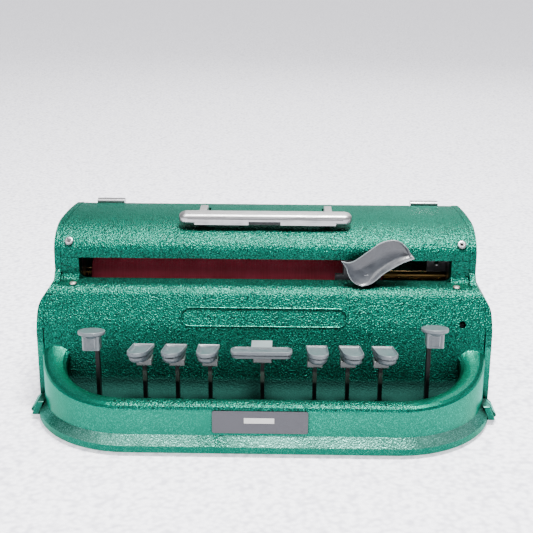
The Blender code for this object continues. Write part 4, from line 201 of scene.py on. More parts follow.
def bench_material():
    """White pressed foam: round beads with thin dark seams."""
    numbers = {"Roughness": BENCH_ROUGHNESS, "Emission Strength": BENCH_GLOW}
    material, tree, shader, place = new_material("foam_board", numbers)
    beads = add(tree, "TexVoronoi", {"Vector": place, "Scale": BEADS_PER_METRE}, feature="SMOOTH_F1")
    seams = stretch(tree, beads.outputs["Distance"], *BEAD_SEAM_SPAN)
    white = between(tree, seams, BENCH_WHITE, BENCH_PALE)
    bumps = relief(tree, beads.outputs["Distance"], -BEAD_HEIGHT)
    feed(tree, shader, colour=white, glow=white, relief=bumps)
    return material


bpy.ops.object.select_all(action="DESELECT")
bpy.ops.mesh.primitive_plane_add(size=BENCH_SIDE)
bench = bpy.context.active_object
bench.name = "bench"
bench.data.materials.append(bench_material())

for panel_name, (panel_place, panel_side, panel_power) in SOFT_PANELS.items():
    panel = bpy.data.lights.new(panel_name, "AREA")
    panel.size = panel_side
    panel.energy = panel_power
    aim = (LIT_PLACE - panel_place).to_track_quat("-Z", "Y")
    put(panel_name, panel, Matrix.Translation(panel_place) @ aim.to_matrix().to_4x4())

room = bpy.data.worlds.new("pale_room")
room.use_nodes = True
room.node_tree.nodes["Background"].inputs["Color"].default_value = ROOM_COLOUR
room.node_tree.nodes["Background"].inputs["Strength"].default_value = ROOM_STRENGTH
bpy.context.scene.world = room

# Base plate and its rib
# A pressed steel sheet, painted black, closes the case from below.  A folded rib
# stops the levers, and a riveted post carries the bell's hammer.
BLACK_PAINT = (0.012, 0.012, 0.014, 1.0)
BLACK_WORN = (0.10, 0.10, 0.105, 1.0)
DUST_COLOUR = (0.33, 0.32, 0.30, 1.0)
# Painted shade: the colour that sheltered places are darkened towards
SHELTER_SHADE_COLOUR = (0.012, 0.012, 0.012, 1.0)
SPECKS_PER_METRE = 900.0
RUBS_PER_METRE = 220.0
WEAR_RADIUS = 0.0006
# Values between which each mask goes from none to full
MOTTLE_SPAN = (0.3, 0.7)
LYING_SPAN = (0.35, 1.0)
SPECK_SPAN = (0.42, 0.75)
RIDGE_SPAN = (0.995, 0.93)
RUB_SPAN = (0.35, 0.65)
SHELTER_SPAN = (0.72, 0.38)
PAINT_SPOTS_PER_METRE = 90.0
PAINT_PALER = 1.6
PAINT_WEAR = 0.8
PAINT_RELIEF = 0.00008
# Dirt, spots and dust together, at which paint is roughest, and how much rougher it gets
PAINT_DIRTIEST = 1.5
PAINT_ROUGHER = 0.25
# Least share of a band of painted reflection that shows between its spots
REFLECTION_LEAST = 0.5
# Distance in metres and angle in degrees below which a copy's corners and faces are merged
MERGE_DISTANCE = 0.00001
MERGE_ANGLE = 0.4
FLAT_FACE_WEIGHT = 80


def axis_of(tree, vector, axis):
    """One axis of a place, direction or colour."""
    return add(tree, "SeparateXYZ", {0: vector}).outputs[axis]


def noise(tree, place, scale, detail):
    """The value and the colour of a noise texture."""
    return add(tree, "TexNoise", {"Vector": place, "Scale": scale, "Detail": detail}).outputs


def new_group(name, inputs, outputs=("Mask",)):
    """An empty shader group with named numbers and places in, and masks or heights out."""
    group = bpy.data.node_groups.new(name, "ShaderNodeTree")
    for socket, default in inputs.items():
        kind = "NodeSocketVector" if default is None else "NodeSocketFloat"
        made = group.interface.new_socket(name=socket, in_out="INPUT", socket_type=kind)
        if default is not None:
            made.default_value = default
    for socket in outputs:
        group.interface.new_socket(name=socket, in_out="OUTPUT", socket_type="NodeSocketFloat")
    entry = group.nodes.new("NodeGroupInput").outputs
    leave = group.nodes.new("NodeGroupOutput").inputs
    return group, entry, leave


def place_group(tree, group, *values):
    """The outputs of a shader group placed in a material with its own values."""
    return add(tree, "Group", dict(enumerate(values)), node_tree=group).outputs


def mask_of(tree, group, *values):
    """The mask of a shader group placed in a material."""
    return place_group(tree, group, *values)["Mask"]


mottle, entry, leave = new_group("mottle", {"Place": None, "Spots per metre": 60.0})
cloud = noise(mottle, entry["Place"], entry["Spots per metre"], detail=4.0)["Fac"]
mottle.links.new(stretch(mottle, cloud, *MOTTLE_SPAN), leave["Mask"])

dust, entry, leave = new_group("dust", {"Place": None, "Amount": 0.3})
lying = stretch(dust, axis_of(dust, add(dust, "NewGeometry").outputs["Normal"], "Z"), *LYING_SPAN)
specks = stretch(dust, noise(dust, entry["Place"], SPECKS_PER_METRE, detail=3.0)["Fac"], *SPECK_SPAN)
dust.links.new(product(dust, lying, specks, entry["Amount"]), leave["Mask"])

edge_wear, entry, leave = new_group("edge_wear", {"Place": None, "Amount": 0.5})
eased = add(edge_wear, "Bevel", {"Radius": WEAR_RADIUS}, samples=6).outputs["Normal"]
true_normal = add(edge_wear, "NewGeometry").outputs["Normal"]
turned = add(edge_wear, "VectorMath", {0: eased, 1: true_normal}, operation="DOT_PRODUCT")
ridge = stretch(edge_wear, turned.outputs["Value"], *RIDGE_SPAN)
rubs = stretch(edge_wear, noise(edge_wear, entry["Place"], RUBS_PER_METRE, detail=5.0)["Fac"], *RUB_SPAN)
edge_wear.links.new(product(edge_wear, ridge, rubs, entry["Amount"]), leave["Mask"])

# Painted shade: a mask that darkens where ambient occlusion finds the shape sheltered within a reach
shelter_shade, entry, leave = new_group("shelter_shade", {"Reach": 0.02, "Amount": 0.5})
shelter = add(shelter_shade, "AmbientOcclusion", {"Distance": entry["Reach"]}, samples=4).outputs["AO"]
shelter_shade.links.new(product(shelter_shade, stretch(shelter_shade, shelter, *SHELTER_SPAN), entry["Amount"]), leave["Mask"])


def painted_steel(name, paint, worn, roughness, dusty, gloss=0.35, painted_light=None):
    """Smooth machine paint, worn to a lighter tone on its edges and dusty on top, with an optional band of
    painted reflection.
    """
    material, tree, shader, place = new_material(name, {"Metallic": 0.0, "Specular IOR Level": gloss})
    spots = mask_of(tree, mottle, place, PAINT_SPOTS_PER_METRE)
    worn_mask = mask_of(tree, edge_wear, place, PAINT_WEAR)
    dust_mask = mask_of(tree, dust, place, dusty)
    paler = tuple(share * PAINT_PALER for share in paint[:3]) + (1.0,)
    colour = between(tree, spots, paint, paler)
    colour = between(tree, worn_mask, colour, worn)
    if painted_light:
        # Painted reflection: a band between two heights, with soft ends
        low, high, fade, reflected = painted_light
        height = axis_of(tree, place, "Z")
        above = stretch(tree, height, low, low + fade)
        below = stretch(tree, height, high, high - fade)
        patchy = blend(tree, spots, REFLECTION_LEAST, 1.0)
        colour = between(tree, product(tree, above, below, patchy), colour, reflected)
    dirty = sum_of(tree, spots, dust_mask, 1.0)
    feed(
        tree, shader,
        colour=between(tree, dust_mask, colour, DUST_COLOUR),
        roughness=stretch(tree, dirty, 0.0, PAINT_DIRTIEST, roughness, roughness + PAINT_ROUGHER),
        relief=relief(tree, spots, PAINT_RELIEF),
    )
    return material


black_paint = painted_steel("black_machine_paint", BLACK_PAINT, BLACK_WORN, roughness=0.38, dusty=0.5)


def activate(piece):
    """Make a piece the active one and the only one selected."""
    bpy.ops.object.select_all(action="DESELECT")
    bpy.context.view_layer.objects.active = piece
    piece.select_set(True)


def refined(node, look, edge=0.0, segments=2, sharp=35.0, name=None):
    """A merged copy of a node with its edges broken, which stands for the node."""
    piece = put(name or node + "_finished", frame["nodes"][node].data.copy())
    activate(piece)
    bpy.ops.mesh.customdata_custom_splitnormals_clear()
    bpy.ops.object.mode_set(mode="EDIT")
    bpy.ops.mesh.select_all(action="SELECT")
    bpy.ops.mesh.mark_sharp(clear=True)
    bpy.ops.mesh.remove_doubles(threshold=MERGE_DISTANCE)
    bpy.ops.mesh.dissolve_limited(angle_limit=math.radians(MERGE_ANGLE))
    bpy.ops.object.mode_set(mode="OBJECT")
    if edge:
        break_edges(piece, edge, segments, sharp)
    smooth(piece, sharp)
    dress(piece, look)
    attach(piece, frame["nodes"][node]["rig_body"])
    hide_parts(node)
    return piece


def break_edges(piece, edge, segments, sharp):
    """Round a piece's sharp edges and apply the rounding."""
    modifier = piece.modifiers.new("broken_edges", "BEVEL")
    modifier.width = edge
    modifier.segments = segments
    modifier.limit_method = "ANGLE"
    modifier.angle_limit = math.radians(sharp)
    modifier.use_clamp_overlap = True
    modifier.harden_normals = False
    bpy.ops.object.modifier_apply(modifier=modifier.name)


def smooth(piece, sharp):
    """Smooth shading that keeps wide faces flat between their rounded edges."""
    bpy.ops.object.shade_smooth_by_angle(angle=math.radians(sharp))
    even = piece.modifiers.new("flat_faces", "WEIGHTED_NORMAL")
    even.keep_sharp = True
    even.weight = FLAT_FACE_WEIGHT
    bpy.ops.object.modifier_apply(modifier=even.name)


def dress(piece, look):
    """Give a piece its one material."""
    piece.data.materials.clear()
    piece.data.materials.append(look)


refined("base_plate", black_paint, edge=0.0003)

# Feet
# Four black rubber buttons are pushed into holes of the base plate.  Each has a
# rounded rim and a small hollow in its sole.
FOOT_NAMES = ("foot_front_left", "foot_front_right", "foot_rear_left", "foot_rear_right")
FOOT_SIDES = 48
FOOT_RIM = 0.0008
FOOT_SOLE_INSET = 0.0035
FOOT_SOLE_DEPTH = 0.0008
RUBBER_BLACK = (0.014, 0.014, 0.015, 1.0)
RUBBER_GREY = (0.05, 0.05, 0.052, 1.0)
RUBBER_SPOTS_PER_METRE = 300.0
RUBBER_DUST = 0.5
RUBBER_ROUGHNESS = (0.7, 0.85)
RUBBER_RELIEF = 0.00012


def start(name, add_primitive, **settings):
    """Add a primitive at its place, make its place part of its mesh and open it for editing."""
    bpy.ops.object.select_all(action="DESELECT")
    add_primitive(**settings)
    piece = bpy.context.active_object
    piece.name = name
    piece.data.name = name
    bpy.ops.object.transform_apply(location=True, rotation=True, scale=True)
    bpy.ops.object.mode_set(mode="EDIT")
    bpy.ops.mesh.select_all(action="SELECT")
    return piece


def pick(kind, test):
    """Select the corners, edges or faces whose middle and direction pass a test."""
    piece = bpy.context.active_object
    bpy.ops.mesh.select_mode(type=kind)
    bpy.ops.mesh.select_all(action="DESELECT")
    mesh = bmesh.from_edit_mesh(piece.data)
    if kind == "VERT":
        for corner in mesh.verts:
            corner.select_set(test(corner.co, corner.normal))
    elif kind == "EDGE":
        for edge in mesh.edges:
            middle = (edge.verts[0].co + edge.verts[1].co) / 2.0
            edge.select_set(test(middle, edge.verts[1].co - edge.verts[0].co))
    else:
        for face in mesh.faces:
            face.select_set(test(face.calc_center_median(), face.normal))
    mesh.select_flush_mode()
    bmesh.update_edit_mesh(piece.data)


def tie(piece, body, nodes=()):
    """Let a piece move with its body and the nodes it stands for."""
    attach(piece, body)
    if nodes:
        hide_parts(*nodes)


def finish(piece, look, body, nodes=(), edge=0.0, segments=2, sharp=35.0):
    """Close a modelled piece: edges rounded, smooth, dressed and tied to its body."""
    bpy.ops.object.mode_set(mode="OBJECT")
    if edge:
        break_edges(piece, edge, segments, sharp)
    smooth(piece, sharp)
    dress(piece, look)
    tie(piece, body, nodes)


def duplicate(piece, name, body, nodes=(), shift=(0.0, 0.0, 0.0), mirrored=False):
    """Add a copy of a piece with its own mesh, moved or mirrored from left to right."""
    twin = put(name, piece.data.copy())
    if mirrored:
        twin.data.transform(Matrix.Scale(-1.0, 4, Vector((1.0, 0.0, 0.0))))
        twin.data.flip_normals()
    twin.data.transform(Matrix.Translation(Vector(shift)))
    tie(twin, body, nodes)


def rubber(name, dark, pale, roughness):
    """Matt rubber with a dusty bloom and a fine grain."""
    material, tree, shader, place = new_material(name, {"Metallic": 0.0})
    spots = mask_of(tree, mottle, place, RUBBER_SPOTS_PER_METRE)
    dust_mask = mask_of(tree, dust, place, RUBBER_DUST)
    colour = between(tree, spots, dark, pale)
    feed(
        tree, shader,
        colour=between(tree, dust_mask, colour, DUST_COLOUR),
        roughness=blend(tree, spots, *roughness),
        relief=relief(tree, spots, RUBBER_RELIEF),
    )
    return material


black_rubber = rubber("black_rubber", RUBBER_BLACK, RUBBER_GREY, RUBBER_ROUGHNESS)

foot_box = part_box(FOOT_NAMES[0])
foot_middle = (Vector(foot_box[0]) + Vector(foot_box[1])) / 2.0
foot = start(
    "foot_front_left_button", bpy.ops.mesh.primitive_cylinder_add,
    vertices=FOOT_SIDES, radius=(foot_box[1][0] - foot_box[0][0]) / 2.0,
    depth=foot_box[1][2] - foot_box[0][2], location=foot_middle,
)
pick("FACE", lambda middle, normal: normal.z < -0.9)
bpy.ops.mesh.inset(thickness=FOOT_SOLE_INSET, depth=0.0)
bpy.ops.mesh.inset(thickness=FOOT_SOLE_DEPTH, depth=-FOOT_SOLE_DEPTH)
finish(foot, black_rubber, "frame", (FOOT_NAMES[0],), edge=FOOT_RIM)
for foot_name in FOOT_NAMES[1:]:
    low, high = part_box(foot_name)
    shift = (Vector(low) + Vector(high)) / 2.0 - foot_middle
    duplicate(foot, foot_name + "_button", "frame", (foot_name,), shift)

# Inner side frames, rods and rack
# Two plated steel plates stand on the base plate and carry the works.  Ground rods
# and a toothed rack run between them, riveted or pinned at their ends.
STEEL_GREY = (0.42, 0.42, 0.43, 1.0)
STEEL_DULL = (0.20, 0.20, 0.21, 1.0)
STEEL_PALE = (0.62, 0.62, 0.62, 1.0)
BRASS_GOLD = (0.55, 0.34, 0.11, 1.0)
BRASS_BROWN = (0.30, 0.17, 0.06, 1.0)
BRUSH_LINES_PER_METRE = 2500.0
# The lines of the brushing are fifty times as long as they are wide
BRUSH_DRAWN = (0.02, 1.0, 1.0)
BRUSH_SPAN = (0.3, 0.7)
BRUSH_RELIEF = 0.00002
METAL_SPOTS_PER_METRE = 120.0
METAL_DUST = 0.12
METAL_WEAR = 0.6
METAL_SHELTER_SHADE = (0.003, 0.85)
METAL_ROUGHER = 0.3
# Angle in degrees up to which the facets of a round piece are shaded as one
ROUND_SHARP = 50.0

brushing, entry, leave = new_group("brushing", {"Place": None, "Lines per metre": BRUSH_LINES_PER_METRE})
drawn = add(brushing, "VectorMath", {0: entry["Place"], 1: BRUSH_DRAWN}, operation="MULTIPLY")
lines = noise(brushing, drawn.outputs[0], entry["Lines per metre"], detail=3.0)["Fac"]
brushing.links.new(stretch(brushing, lines, *BRUSH_SPAN), leave["Mask"])


def bare_metal(name, plain, dull, worn, roughness, lines_per_metre=BRUSH_LINES_PER_METRE):
    """Plated or machined metal, drawn from side to side and cloudy with age, with painted shade in its slots
    and corners.
    """
    material, tree, shader, place = new_material(name, {"Metallic": 1.0})
    strokes = mask_of(tree, brushing, place, lines_per_metre)
    spots = mask_of(tree, mottle, place, METAL_SPOTS_PER_METRE)
    dust_mask = mask_of(tree, dust, place, METAL_DUST)
    worn_mask = mask_of(tree, edge_wear, place, METAL_WEAR)
    # Painted shade in slots, corners and under parts
    painted_shade_mask = mask_of(tree, shelter_shade, *METAL_SHELTER_SHADE)
    mixed = product(tree, spots, strokes)
    colour = between(tree, mixed, plain, dull)
    colour = between(tree, worn_mask, colour, worn)
    colour = between(tree, painted_shade_mask, colour, SHELTER_SHADE_COLOUR)
    dirty = sum_of(tree, mixed, dust_mask, 1.0)
    feed(
        tree, shader,
        colour=between(tree, dust_mask, colour, DUST_COLOUR),
        roughness=blend(tree, dirty, roughness, roughness + METAL_ROUGHER),
        relief=relief(tree, strokes, BRUSH_RELIEF),
    )
    return material


plated_steel = bare_metal("plated_steel", STEEL_GREY, STEEL_DULL, STEEL_PALE, roughness=0.28)
brass = bare_metal(
    "brass", BRASS_GOLD, BRASS_BROWN, BRASS_GOLD, roughness=0.25, lines_per_metre=1500.0
)

for frame_name in ("side_frame_left", "side_frame_right", "spacing_rack"):
    refined(frame_name, plated_steel, edge=0.0002)
for rod_name in ("key_shaft", "carriage_rod_low", "carriage_rod_high"):
    refined(rod_name, plated_steel, edge=0.0003, sharp=ROUND_SHARP)

# Key levers and their springs
# Nine black steel levers turn on one shaft, each with a flat stem up through the
# casting.  A plated comb lifts them, cut into one finger for each key, and the fingers stay with the frame.
LEVER_BLACK = (0.003, 0.0035, 0.0035, 1.0)
LEVER_SHEEN = (0.009, 0.011, 0.010, 1.0)
LEVER_ROUGHNESS = 0.30
LEVER_DUST = 0.10
LEVER_GLOSS = 0.12
# Lowest and highest point of the stems' greenish painted reflection, its soft ends, and its colour
STEM_PAINTED_REFLECTION = (0.0405, 0.0505, 0.0015, (0.045, 0.062, 0.050, 1.0))
DOT_NUMBERS = (1, 2, 3, 4, 5, 6)
KEY_NAMES = ("line_space", "dot_3", "dot_2", "dot_1", "space", "dot_4", "dot_5", "dot_6", "back_space")
END_KEYS = (KEY_NAMES[0], KEY_NAMES[-1])
# Height up to which the comb is flat, and how far from the shaft a key presses its finger
SPRING_BEND = 0.0059
SPRING_FINGER_HALF = 0.005

lever_paint = (LEVER_BLACK, LEVER_SHEEN, LEVER_ROUGHNESS, LEVER_DUST, LEVER_GLOSS)
polished_black = painted_steel("polished_black_steel", *lever_paint)
# Painted reflection: a greenish band near the top of each dot and space stem
reflecting_black = painted_steel("black_steel_painted_reflection", *lever_paint, painted_light=STEM_PAINTED_REFLECTION)
for key_name in KEY_NAMES:
    refined("lever_" + key_name, polished_black if key_name in END_KEYS else reflecting_black, edge=0.0003)


def stem_side(key):
    """How far right of the machine's middle a key's stem stands."""
    low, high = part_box("lever_" + key)
    return (low[0] + high[0]) / 2.0


def cut_at_bend(piece, drop_top):
    """Cut a spring piece level at the bend, drop its top or its bottom and close the cut."""
    activate(piece)
    bpy.ops.object.mode_set(mode="EDIT")
    bpy.ops.mesh.select_all(action="SELECT")
    bpy.ops.mesh.bisect(
        plane_co=(0.0, 0.0, SPRING_BEND), plane_no=(0.0, 0.0, 1.0),
        use_fill=True, clear_outer=drop_top, clear_inner=not drop_top,
    )


strip_piece = refined("key_spring_comb", plated_steel, name="key_spring_strip")
comb_mesh = strip_piece.data.copy()
cut_at_bend(strip_piece, drop_top=True)
bpy.ops.object.mode_set(mode="OBJECT")
for key_name in KEY_NAMES:
    key_side = stem_side(key_name)
    spring = put("key_spring_" + key_name, comb_mesh.copy())
    cut_at_bend(spring, drop_top=False)
    pick("VERT", lambda corner, normal: abs(corner.x - key_side) > SPRING_FINGER_HALF)
    bpy.ops.mesh.delete(type="VERT")
    bpy.ops.object.mode_set(mode="OBJECT")
    tie(spring, "frame", ("key_spring_comb",))
    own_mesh(spring)
bpy.data.meshes.remove(comb_mesh)

# Dot bars
# Six plated bars, one behind another, are pushed up by the dot levers and would
# raise the pins of the head.
for dot_number in DOT_NUMBERS:
    refined(f"bar_dot_{dot_number}", plated_steel, edge=0.0002)

# Paper roller, knob shaft and gears
# The roller is a steel tube under ground maroon rubber on a brass shaft.  A brass
# gear pair joins it to the shaft of the two side knobs.
MAROON = (0.36, 0.010, 0.032, 1.0)
MAROON_PALE = (0.52, 0.045, 0.085, 1.0)
MAROON_ROUGHNESS = (0.55, 0.75)
MAROON_SPOTS_PER_METRE = 45.0
MAROON_SPOT_SHARE = 0.9
MAROON_SPAN = (0.2, 1.4)
MAROON_DUST = 0.4
GRINDING_MARKS_PER_METRE = 1400.0
GRINDING_WOUND = (1.0, 0.03, 0.03)
GRINDING_SPAN = (0.2, 0.8)
GRINDING_RELIEF = 0.00006


def ground_rubber():
    """Maroon rubber with fine grinding marks round the roller and a chalky bloom."""
    material, tree, shader, place = new_material("maroon_rubber", {"Metallic": 0.0})
    wound = add(tree, "VectorMath", {0: place, 1: GRINDING_WOUND}, operation="MULTIPLY").outputs[0]
    marks = noise(tree, wound, GRINDING_MARKS_PER_METRE, detail=2.0)["Fac"]
    spots = mask_of(tree, mottle, place, MAROON_SPOTS_PER_METRE)
    dust_mask = mask_of(tree, dust, place, MAROON_DUST)
    mixed = sum_of(tree, stretch(tree, marks, *GRINDING_SPAN), spots, MAROON_SPOT_SHARE)
    colour = between(tree, stretch(tree, mixed, *MAROON_SPAN), MAROON, MAROON_PALE)
    feed(
        tree, shader,
        colour=between(tree, dust_mask, colour, DUST_COLOUR),
        roughness=blend(tree, spots, *MAROON_ROUGHNESS),
        relief=relief(tree, marks, GRINDING_RELIEF),
    )
    return material


refined("paper_roller", ground_rubber(), edge=0.0006, segments=3, sharp=ROUND_SHARP)
refined("roller_shaft", brass, edge=0.0003, sharp=ROUND_SHARP)
for gear_name in ("roller_gear", "knob_gear"):
    refined(gear_name, brass, edge=0.00015)
refined("knob_shaft", plated_steel, edge=0.0003, sharp=ROUND_SHARP)

# Paper release
# A plated yoke behind the roller holds a thin black roller against it.  Two flat
# lever pads rise through the lid's rear edge to work it.
refined("paper_release", plated_steel, edge=0.0004)
refined("pressure_roller", black_rubber, edge=0.0004, sharp=ROUND_SHARP)

# Carriage and embossing head
# The carriage is a black block that slides on the two rods, and its black head
# reaches over the roller.
for carriage_name in ("carriage_block", "embossing_head"):
    refined(carriage_name, black_paint, edge=0.0005)

# Finger lever of the head
# A dark grey moulded plate, waved from left to right, has a bead inside its edge and
# a rim round it in paler grey, a painted highlight along its edge.  A short arm with a pin joins it to the
# head's clevis.
PLASTIC_DARK = (0.013, 0.016, 0.021, 1.0)
PLASTIC_DARK_PALE = (0.13, 0.14, 0.155, 1.0)
PLASTIC_GREY = (0.034, 0.048, 0.056, 1.0)
PLASTIC_GREY_PALE = (0.22, 0.25, 0.26, 1.0)
# Painted highlight: the paler grey of the rim round the finger plate
RIM_GREY = (0.055, 0.062, 0.070, 1.0)
PLASTIC_COAT_ROUGHNESS = 0.12
PLASTIC_CLOUDING = 0.2
PLASTIC_WEAR = 0.9
# Pointiness between which rims turn pale, as a painted highlight
PLASTIC_RIM_SPAN = (0.530, 0.595)
PLASTIC_DUST = 0.08
PLASTIC_SHELTER_SHADE = (0.008, 0.75)
PLASTIC_ROUGHER = 0.12
PLASTIC_RELIEF = 0.00005


def larger(tree, first, second):
    """The larger of two values."""
    return add(tree, "Math", {0: first, 1: second}, operation="MAXIMUM").outputs[0]


def moulded(name, plain, pale, roughness, spots_per_metre, coat=0.2):
    """Moulded plastic, faintly cloudy, dusty on top, worn paler on its edges, paler still on every rim as a
    painted highlight, and darkened by painted shade where sheltered.
    """
    numbers = {"Metallic": 0.0, "Coat Weight": coat, "Coat Roughness": PLASTIC_COAT_ROUGHNESS}
    material, tree, shader, place = new_material(name, numbers)
    spots = mask_of(tree, mottle, place, spots_per_metre)
    worn_mask = mask_of(tree, edge_wear, place, PLASTIC_WEAR)
    rim_highlights = stretch(tree, add(tree, "NewGeometry").outputs["Pointiness"], *PLASTIC_RIM_SPAN)
    dust_mask = mask_of(tree, dust, place, PLASTIC_DUST)
    # Painted shade where the shape is sheltered
    painted_shade_mask = mask_of(tree, shelter_shade, *PLASTIC_SHELTER_SHADE)
    cloudy = tuple(
        first * (1.0 - PLASTIC_CLOUDING) + second * PLASTIC_CLOUDING for first, second in zip(plain, pale)
    )
    colour = between(tree, spots, plain, cloudy)
    # Paler on worn edges, and on every rim as a painted highlight
    colour = between(tree, larger(tree, worn_mask, rim_highlights), colour, pale)
    colour = between(tree, painted_shade_mask, colour, SHELTER_SHADE_COLOUR)
    feed(
        tree, shader,
        colour=between(tree, dust_mask, colour, DUST_COLOUR),
        roughness=blend(tree, spots, roughness, roughness + PLASTIC_ROUGHER),
        relief=relief(tree, spots, PLASTIC_RELIEF),
    )
    return material


dark_plastic = moulded(
    "dark_grey_plastic", PLASTIC_DARK, PLASTIC_DARK_PALE, roughness=0.32, spots_per_metre=150.0, coat=0.5
)
grey_plastic = moulded(
    "grey_plastic", PLASTIC_GREY, PLASTIC_GREY_PALE, roughness=0.36, spots_per_metre=400.0
)
rim_plastic = moulded(
    "grey_plastic_painted_highlight", RIM_GREY, PLASTIC_GREY_PALE, roughness=0.30, spots_per_metre=150.0
)

FINGER_CENTRE = (0.0872, 0.1183)
FINGER_HALF = (0.0283, 0.0185)
# Places of the plate's low and high ends from front to back, and how far it is dished
FINGER_LOW_BACK = -0.0195
FINGER_HIGH_BACK = -0.0107
FINGER_DISH = 0.0030
FINGER_DISH_END = 0.4
FINGER_THICKNESS = 0.0022
FINGER_STEPS = (56, 28)
FINGER_BEAD = 0.0008
# Shares of the plate's length and height where its bead runs, and the bead's half width
FINGER_BEAD_SHARES = (0.022, 0.050)
FINGER_BEAD_WIDTH_SHARES = (0.018, 0.042)
# Share of the height where the crease runs, and shares of the length between which it sets in
FINGER_CREASE_SHARE = 0.78
FINGER_CREASE_SPAN = (0.2, 0.6)
# The plate's edges seen from the front, as shares of its half sizes
FINGER_UPPER_SHARES = (
    (-0.95, 0.06), (-0.81, -0.01), (-0.64, 0.03), (-0.48, 0.17), (-0.31, 0.35), (-0.10, 0.58),
    (0.10, 0.79), (0.31, 0.90), (0.52, 0.92), (0.69, 0.84), (0.83, 0.65),
)
FINGER_LOWER_SHARES = (
    (-0.36, -0.96), (-0.17, -0.88), (0.00, -0.72), (0.17, -0.49), (0.38, -0.28), (0.59, -0.10),
    (0.79, 0.05), (1.05, 0.19),
)
FINGER_LEFT_SHARES = (
    (-0.95, 0.06), (-0.82, -0.20), (-0.77, -0.43), (-0.69, -0.67), (-0.55, -0.86), (-0.36, -0.96),
)
FINGER_RIGHT_SHARES = ((0.83, 0.65), (0.89, 0.52), (0.94, 0.37), (1.05, 0.19))
FINGER_RIM_RADIUS = 0.0004
FINGER_RIM_STEPS = 24
LEVER_PIN = (0.0050, 0.1060)
LEVER_PIN_HALF = 0.0095
LEVER_PIN_RADIUS = 0.0018
LEVER_ARM = (0.0780, 0.0880)
LEVER_ARM_THICKNESS = 0.0045
QUARTER_TURN = math.radians(90.0)


def edge_point(shares, part):
    """The point a part of the way along an edge, on a smooth curve through its points."""
    place = part * (len(shares) - 1)
    index = min(int(place), len(shares) - 2)
    rest = place - index
    near, far = shares[index], shares[index + 1]
    before = shares[max(index - 1, 0)]
    after = shares[min(index + 2, len(shares) - 1)]
    point = []
    for axis in range(2):
        start_slope = (far[axis] - before[axis]) / 2.0
        end_slope = (after[axis] - near[axis]) / 2.0
        turn = 3.0 * (far[axis] - near[axis]) - 2.0 * start_slope - end_slope
        close = 2.0 * (near[axis] - far[axis]) + start_slope + end_slope
        point.append(near[axis] + start_slope * rest + turn * rest ** 2 + close * rest ** 3)
    return point


def finger_point(along, across):
    """A point of the plate's front: a patch between its four edges, dished, with a bead."""
    upper = edge_point(FINGER_UPPER_SHARES, along)
    lower = edge_point(FINGER_LOWER_SHARES, along)
    left = edge_point(FINGER_LEFT_SHARES, across)
    right_end = edge_point(FINGER_RIGHT_SHARES, across)
    flat = []
    for axis in range(2):
        edges = upper[axis] * (1.0 - across) + lower[axis] * across
        edges += left[axis] * (1.0 - along) + right_end[axis] * along
        near = FINGER_UPPER_SHARES[0][axis] * (1.0 - along) + FINGER_UPPER_SHARES[-1][axis] * along
        far = FINGER_LOWER_SHARES[0][axis] * (1.0 - along) + FINGER_LOWER_SHARES[-1][axis] * along
        flat.append(edges - near * (1.0 - across) - far * across)
    # Towards the right the dish ends in a crease, from which it rises steeply to the lower edge
    if across < FINGER_CREASE_SHARE:
        creased = math.sin(QUARTER_TURN * across / FINGER_CREASE_SHARE)
    else:
        creased = (1.0 - across) / (1.0 - FINGER_CREASE_SHARE)
    crease_start, crease_full = FINGER_CREASE_SPAN
    sharpness = max(0.0, min(1.0, (along - crease_start) / (crease_full - crease_start)))
    dish = math.sin(math.pi * across) * (1.0 - sharpness) + creased * sharpness
    dish *= math.sin(QUARTER_TURN * min(1.0, along / FINGER_DISH_END))
    offsets = (
        (along - FINGER_BEAD_SHARES[0]) / FINGER_BEAD_WIDTH_SHARES[0],
        (1.0 - along - FINGER_BEAD_SHARES[0]) / FINGER_BEAD_WIDTH_SHARES[0],
        (1.0 - across - FINGER_BEAD_SHARES[1]) / FINGER_BEAD_WIDTH_SHARES[1],
    )
    bead = max(math.exp(-offset * offset) for offset in offsets)
    back = FINGER_LOW_BACK + (FINGER_HIGH_BACK - FINGER_LOW_BACK) * (flat[1] + 1.0) / 2.0
    return Vector((
        FINGER_CENTRE[0] + FINGER_HALF[0] * flat[0],
        back + FINGER_DISH * dish - FINGER_BEAD * bead,
        FINGER_CENTRE[1] + FINGER_HALF[1] * flat[1],
    ))


def closer(part):
    """Steps that lie closer together near both ends."""
    return (1.0 - math.cos(math.pi * part)) / 2.0


def rim_point(index):
    """A point of the rim, which runs once round the plate's four edges."""
    edge, step = divmod(index, FINGER_RIM_STEPS)
    part = step / FINGER_RIM_STEPS
    return finger_point(*((part, 0.0), (1.0, part), (1.0 - part, 1.0), (0.0, 1.0 - part))[edge])


def reshape(piece, place_of):
    """Move every corner of the piece being edited to the place that a function gives."""
    mesh = bmesh.from_edit_mesh(piece.data)
    for corner in mesh.verts:
        corner.co = place_of(corner)
    bmesh.update_edit_mesh(piece.data)


def as_tube(radius, rounding):
    """The loop being edited, drawn as a tube."""
    bpy.ops.object.mode_set(mode="OBJECT")
    bpy.ops.object.convert(target="CURVE")
    loop = bpy.context.active_object
    loop.data.bevel_depth = radius
    loop.data.bevel_resolution = rounding
    bpy.ops.object.convert(target="MESH")
    return bpy.context.active_object


def face_outwards():
    """Open the active piece for editing and turn its faces outwards."""
    bpy.ops.object.mode_set(mode="EDIT")
    bpy.ops.mesh.select_all(action="SELECT")
    bpy.ops.mesh.normals_make_consistent(inside=False)


def add_block(middle, size):
    """Add a block to the piece being edited."""
    bpy.ops.mesh.primitive_cube_add(size=1.0, location=middle)
    bpy.ops.transform.resize(value=size, center_override=middle)


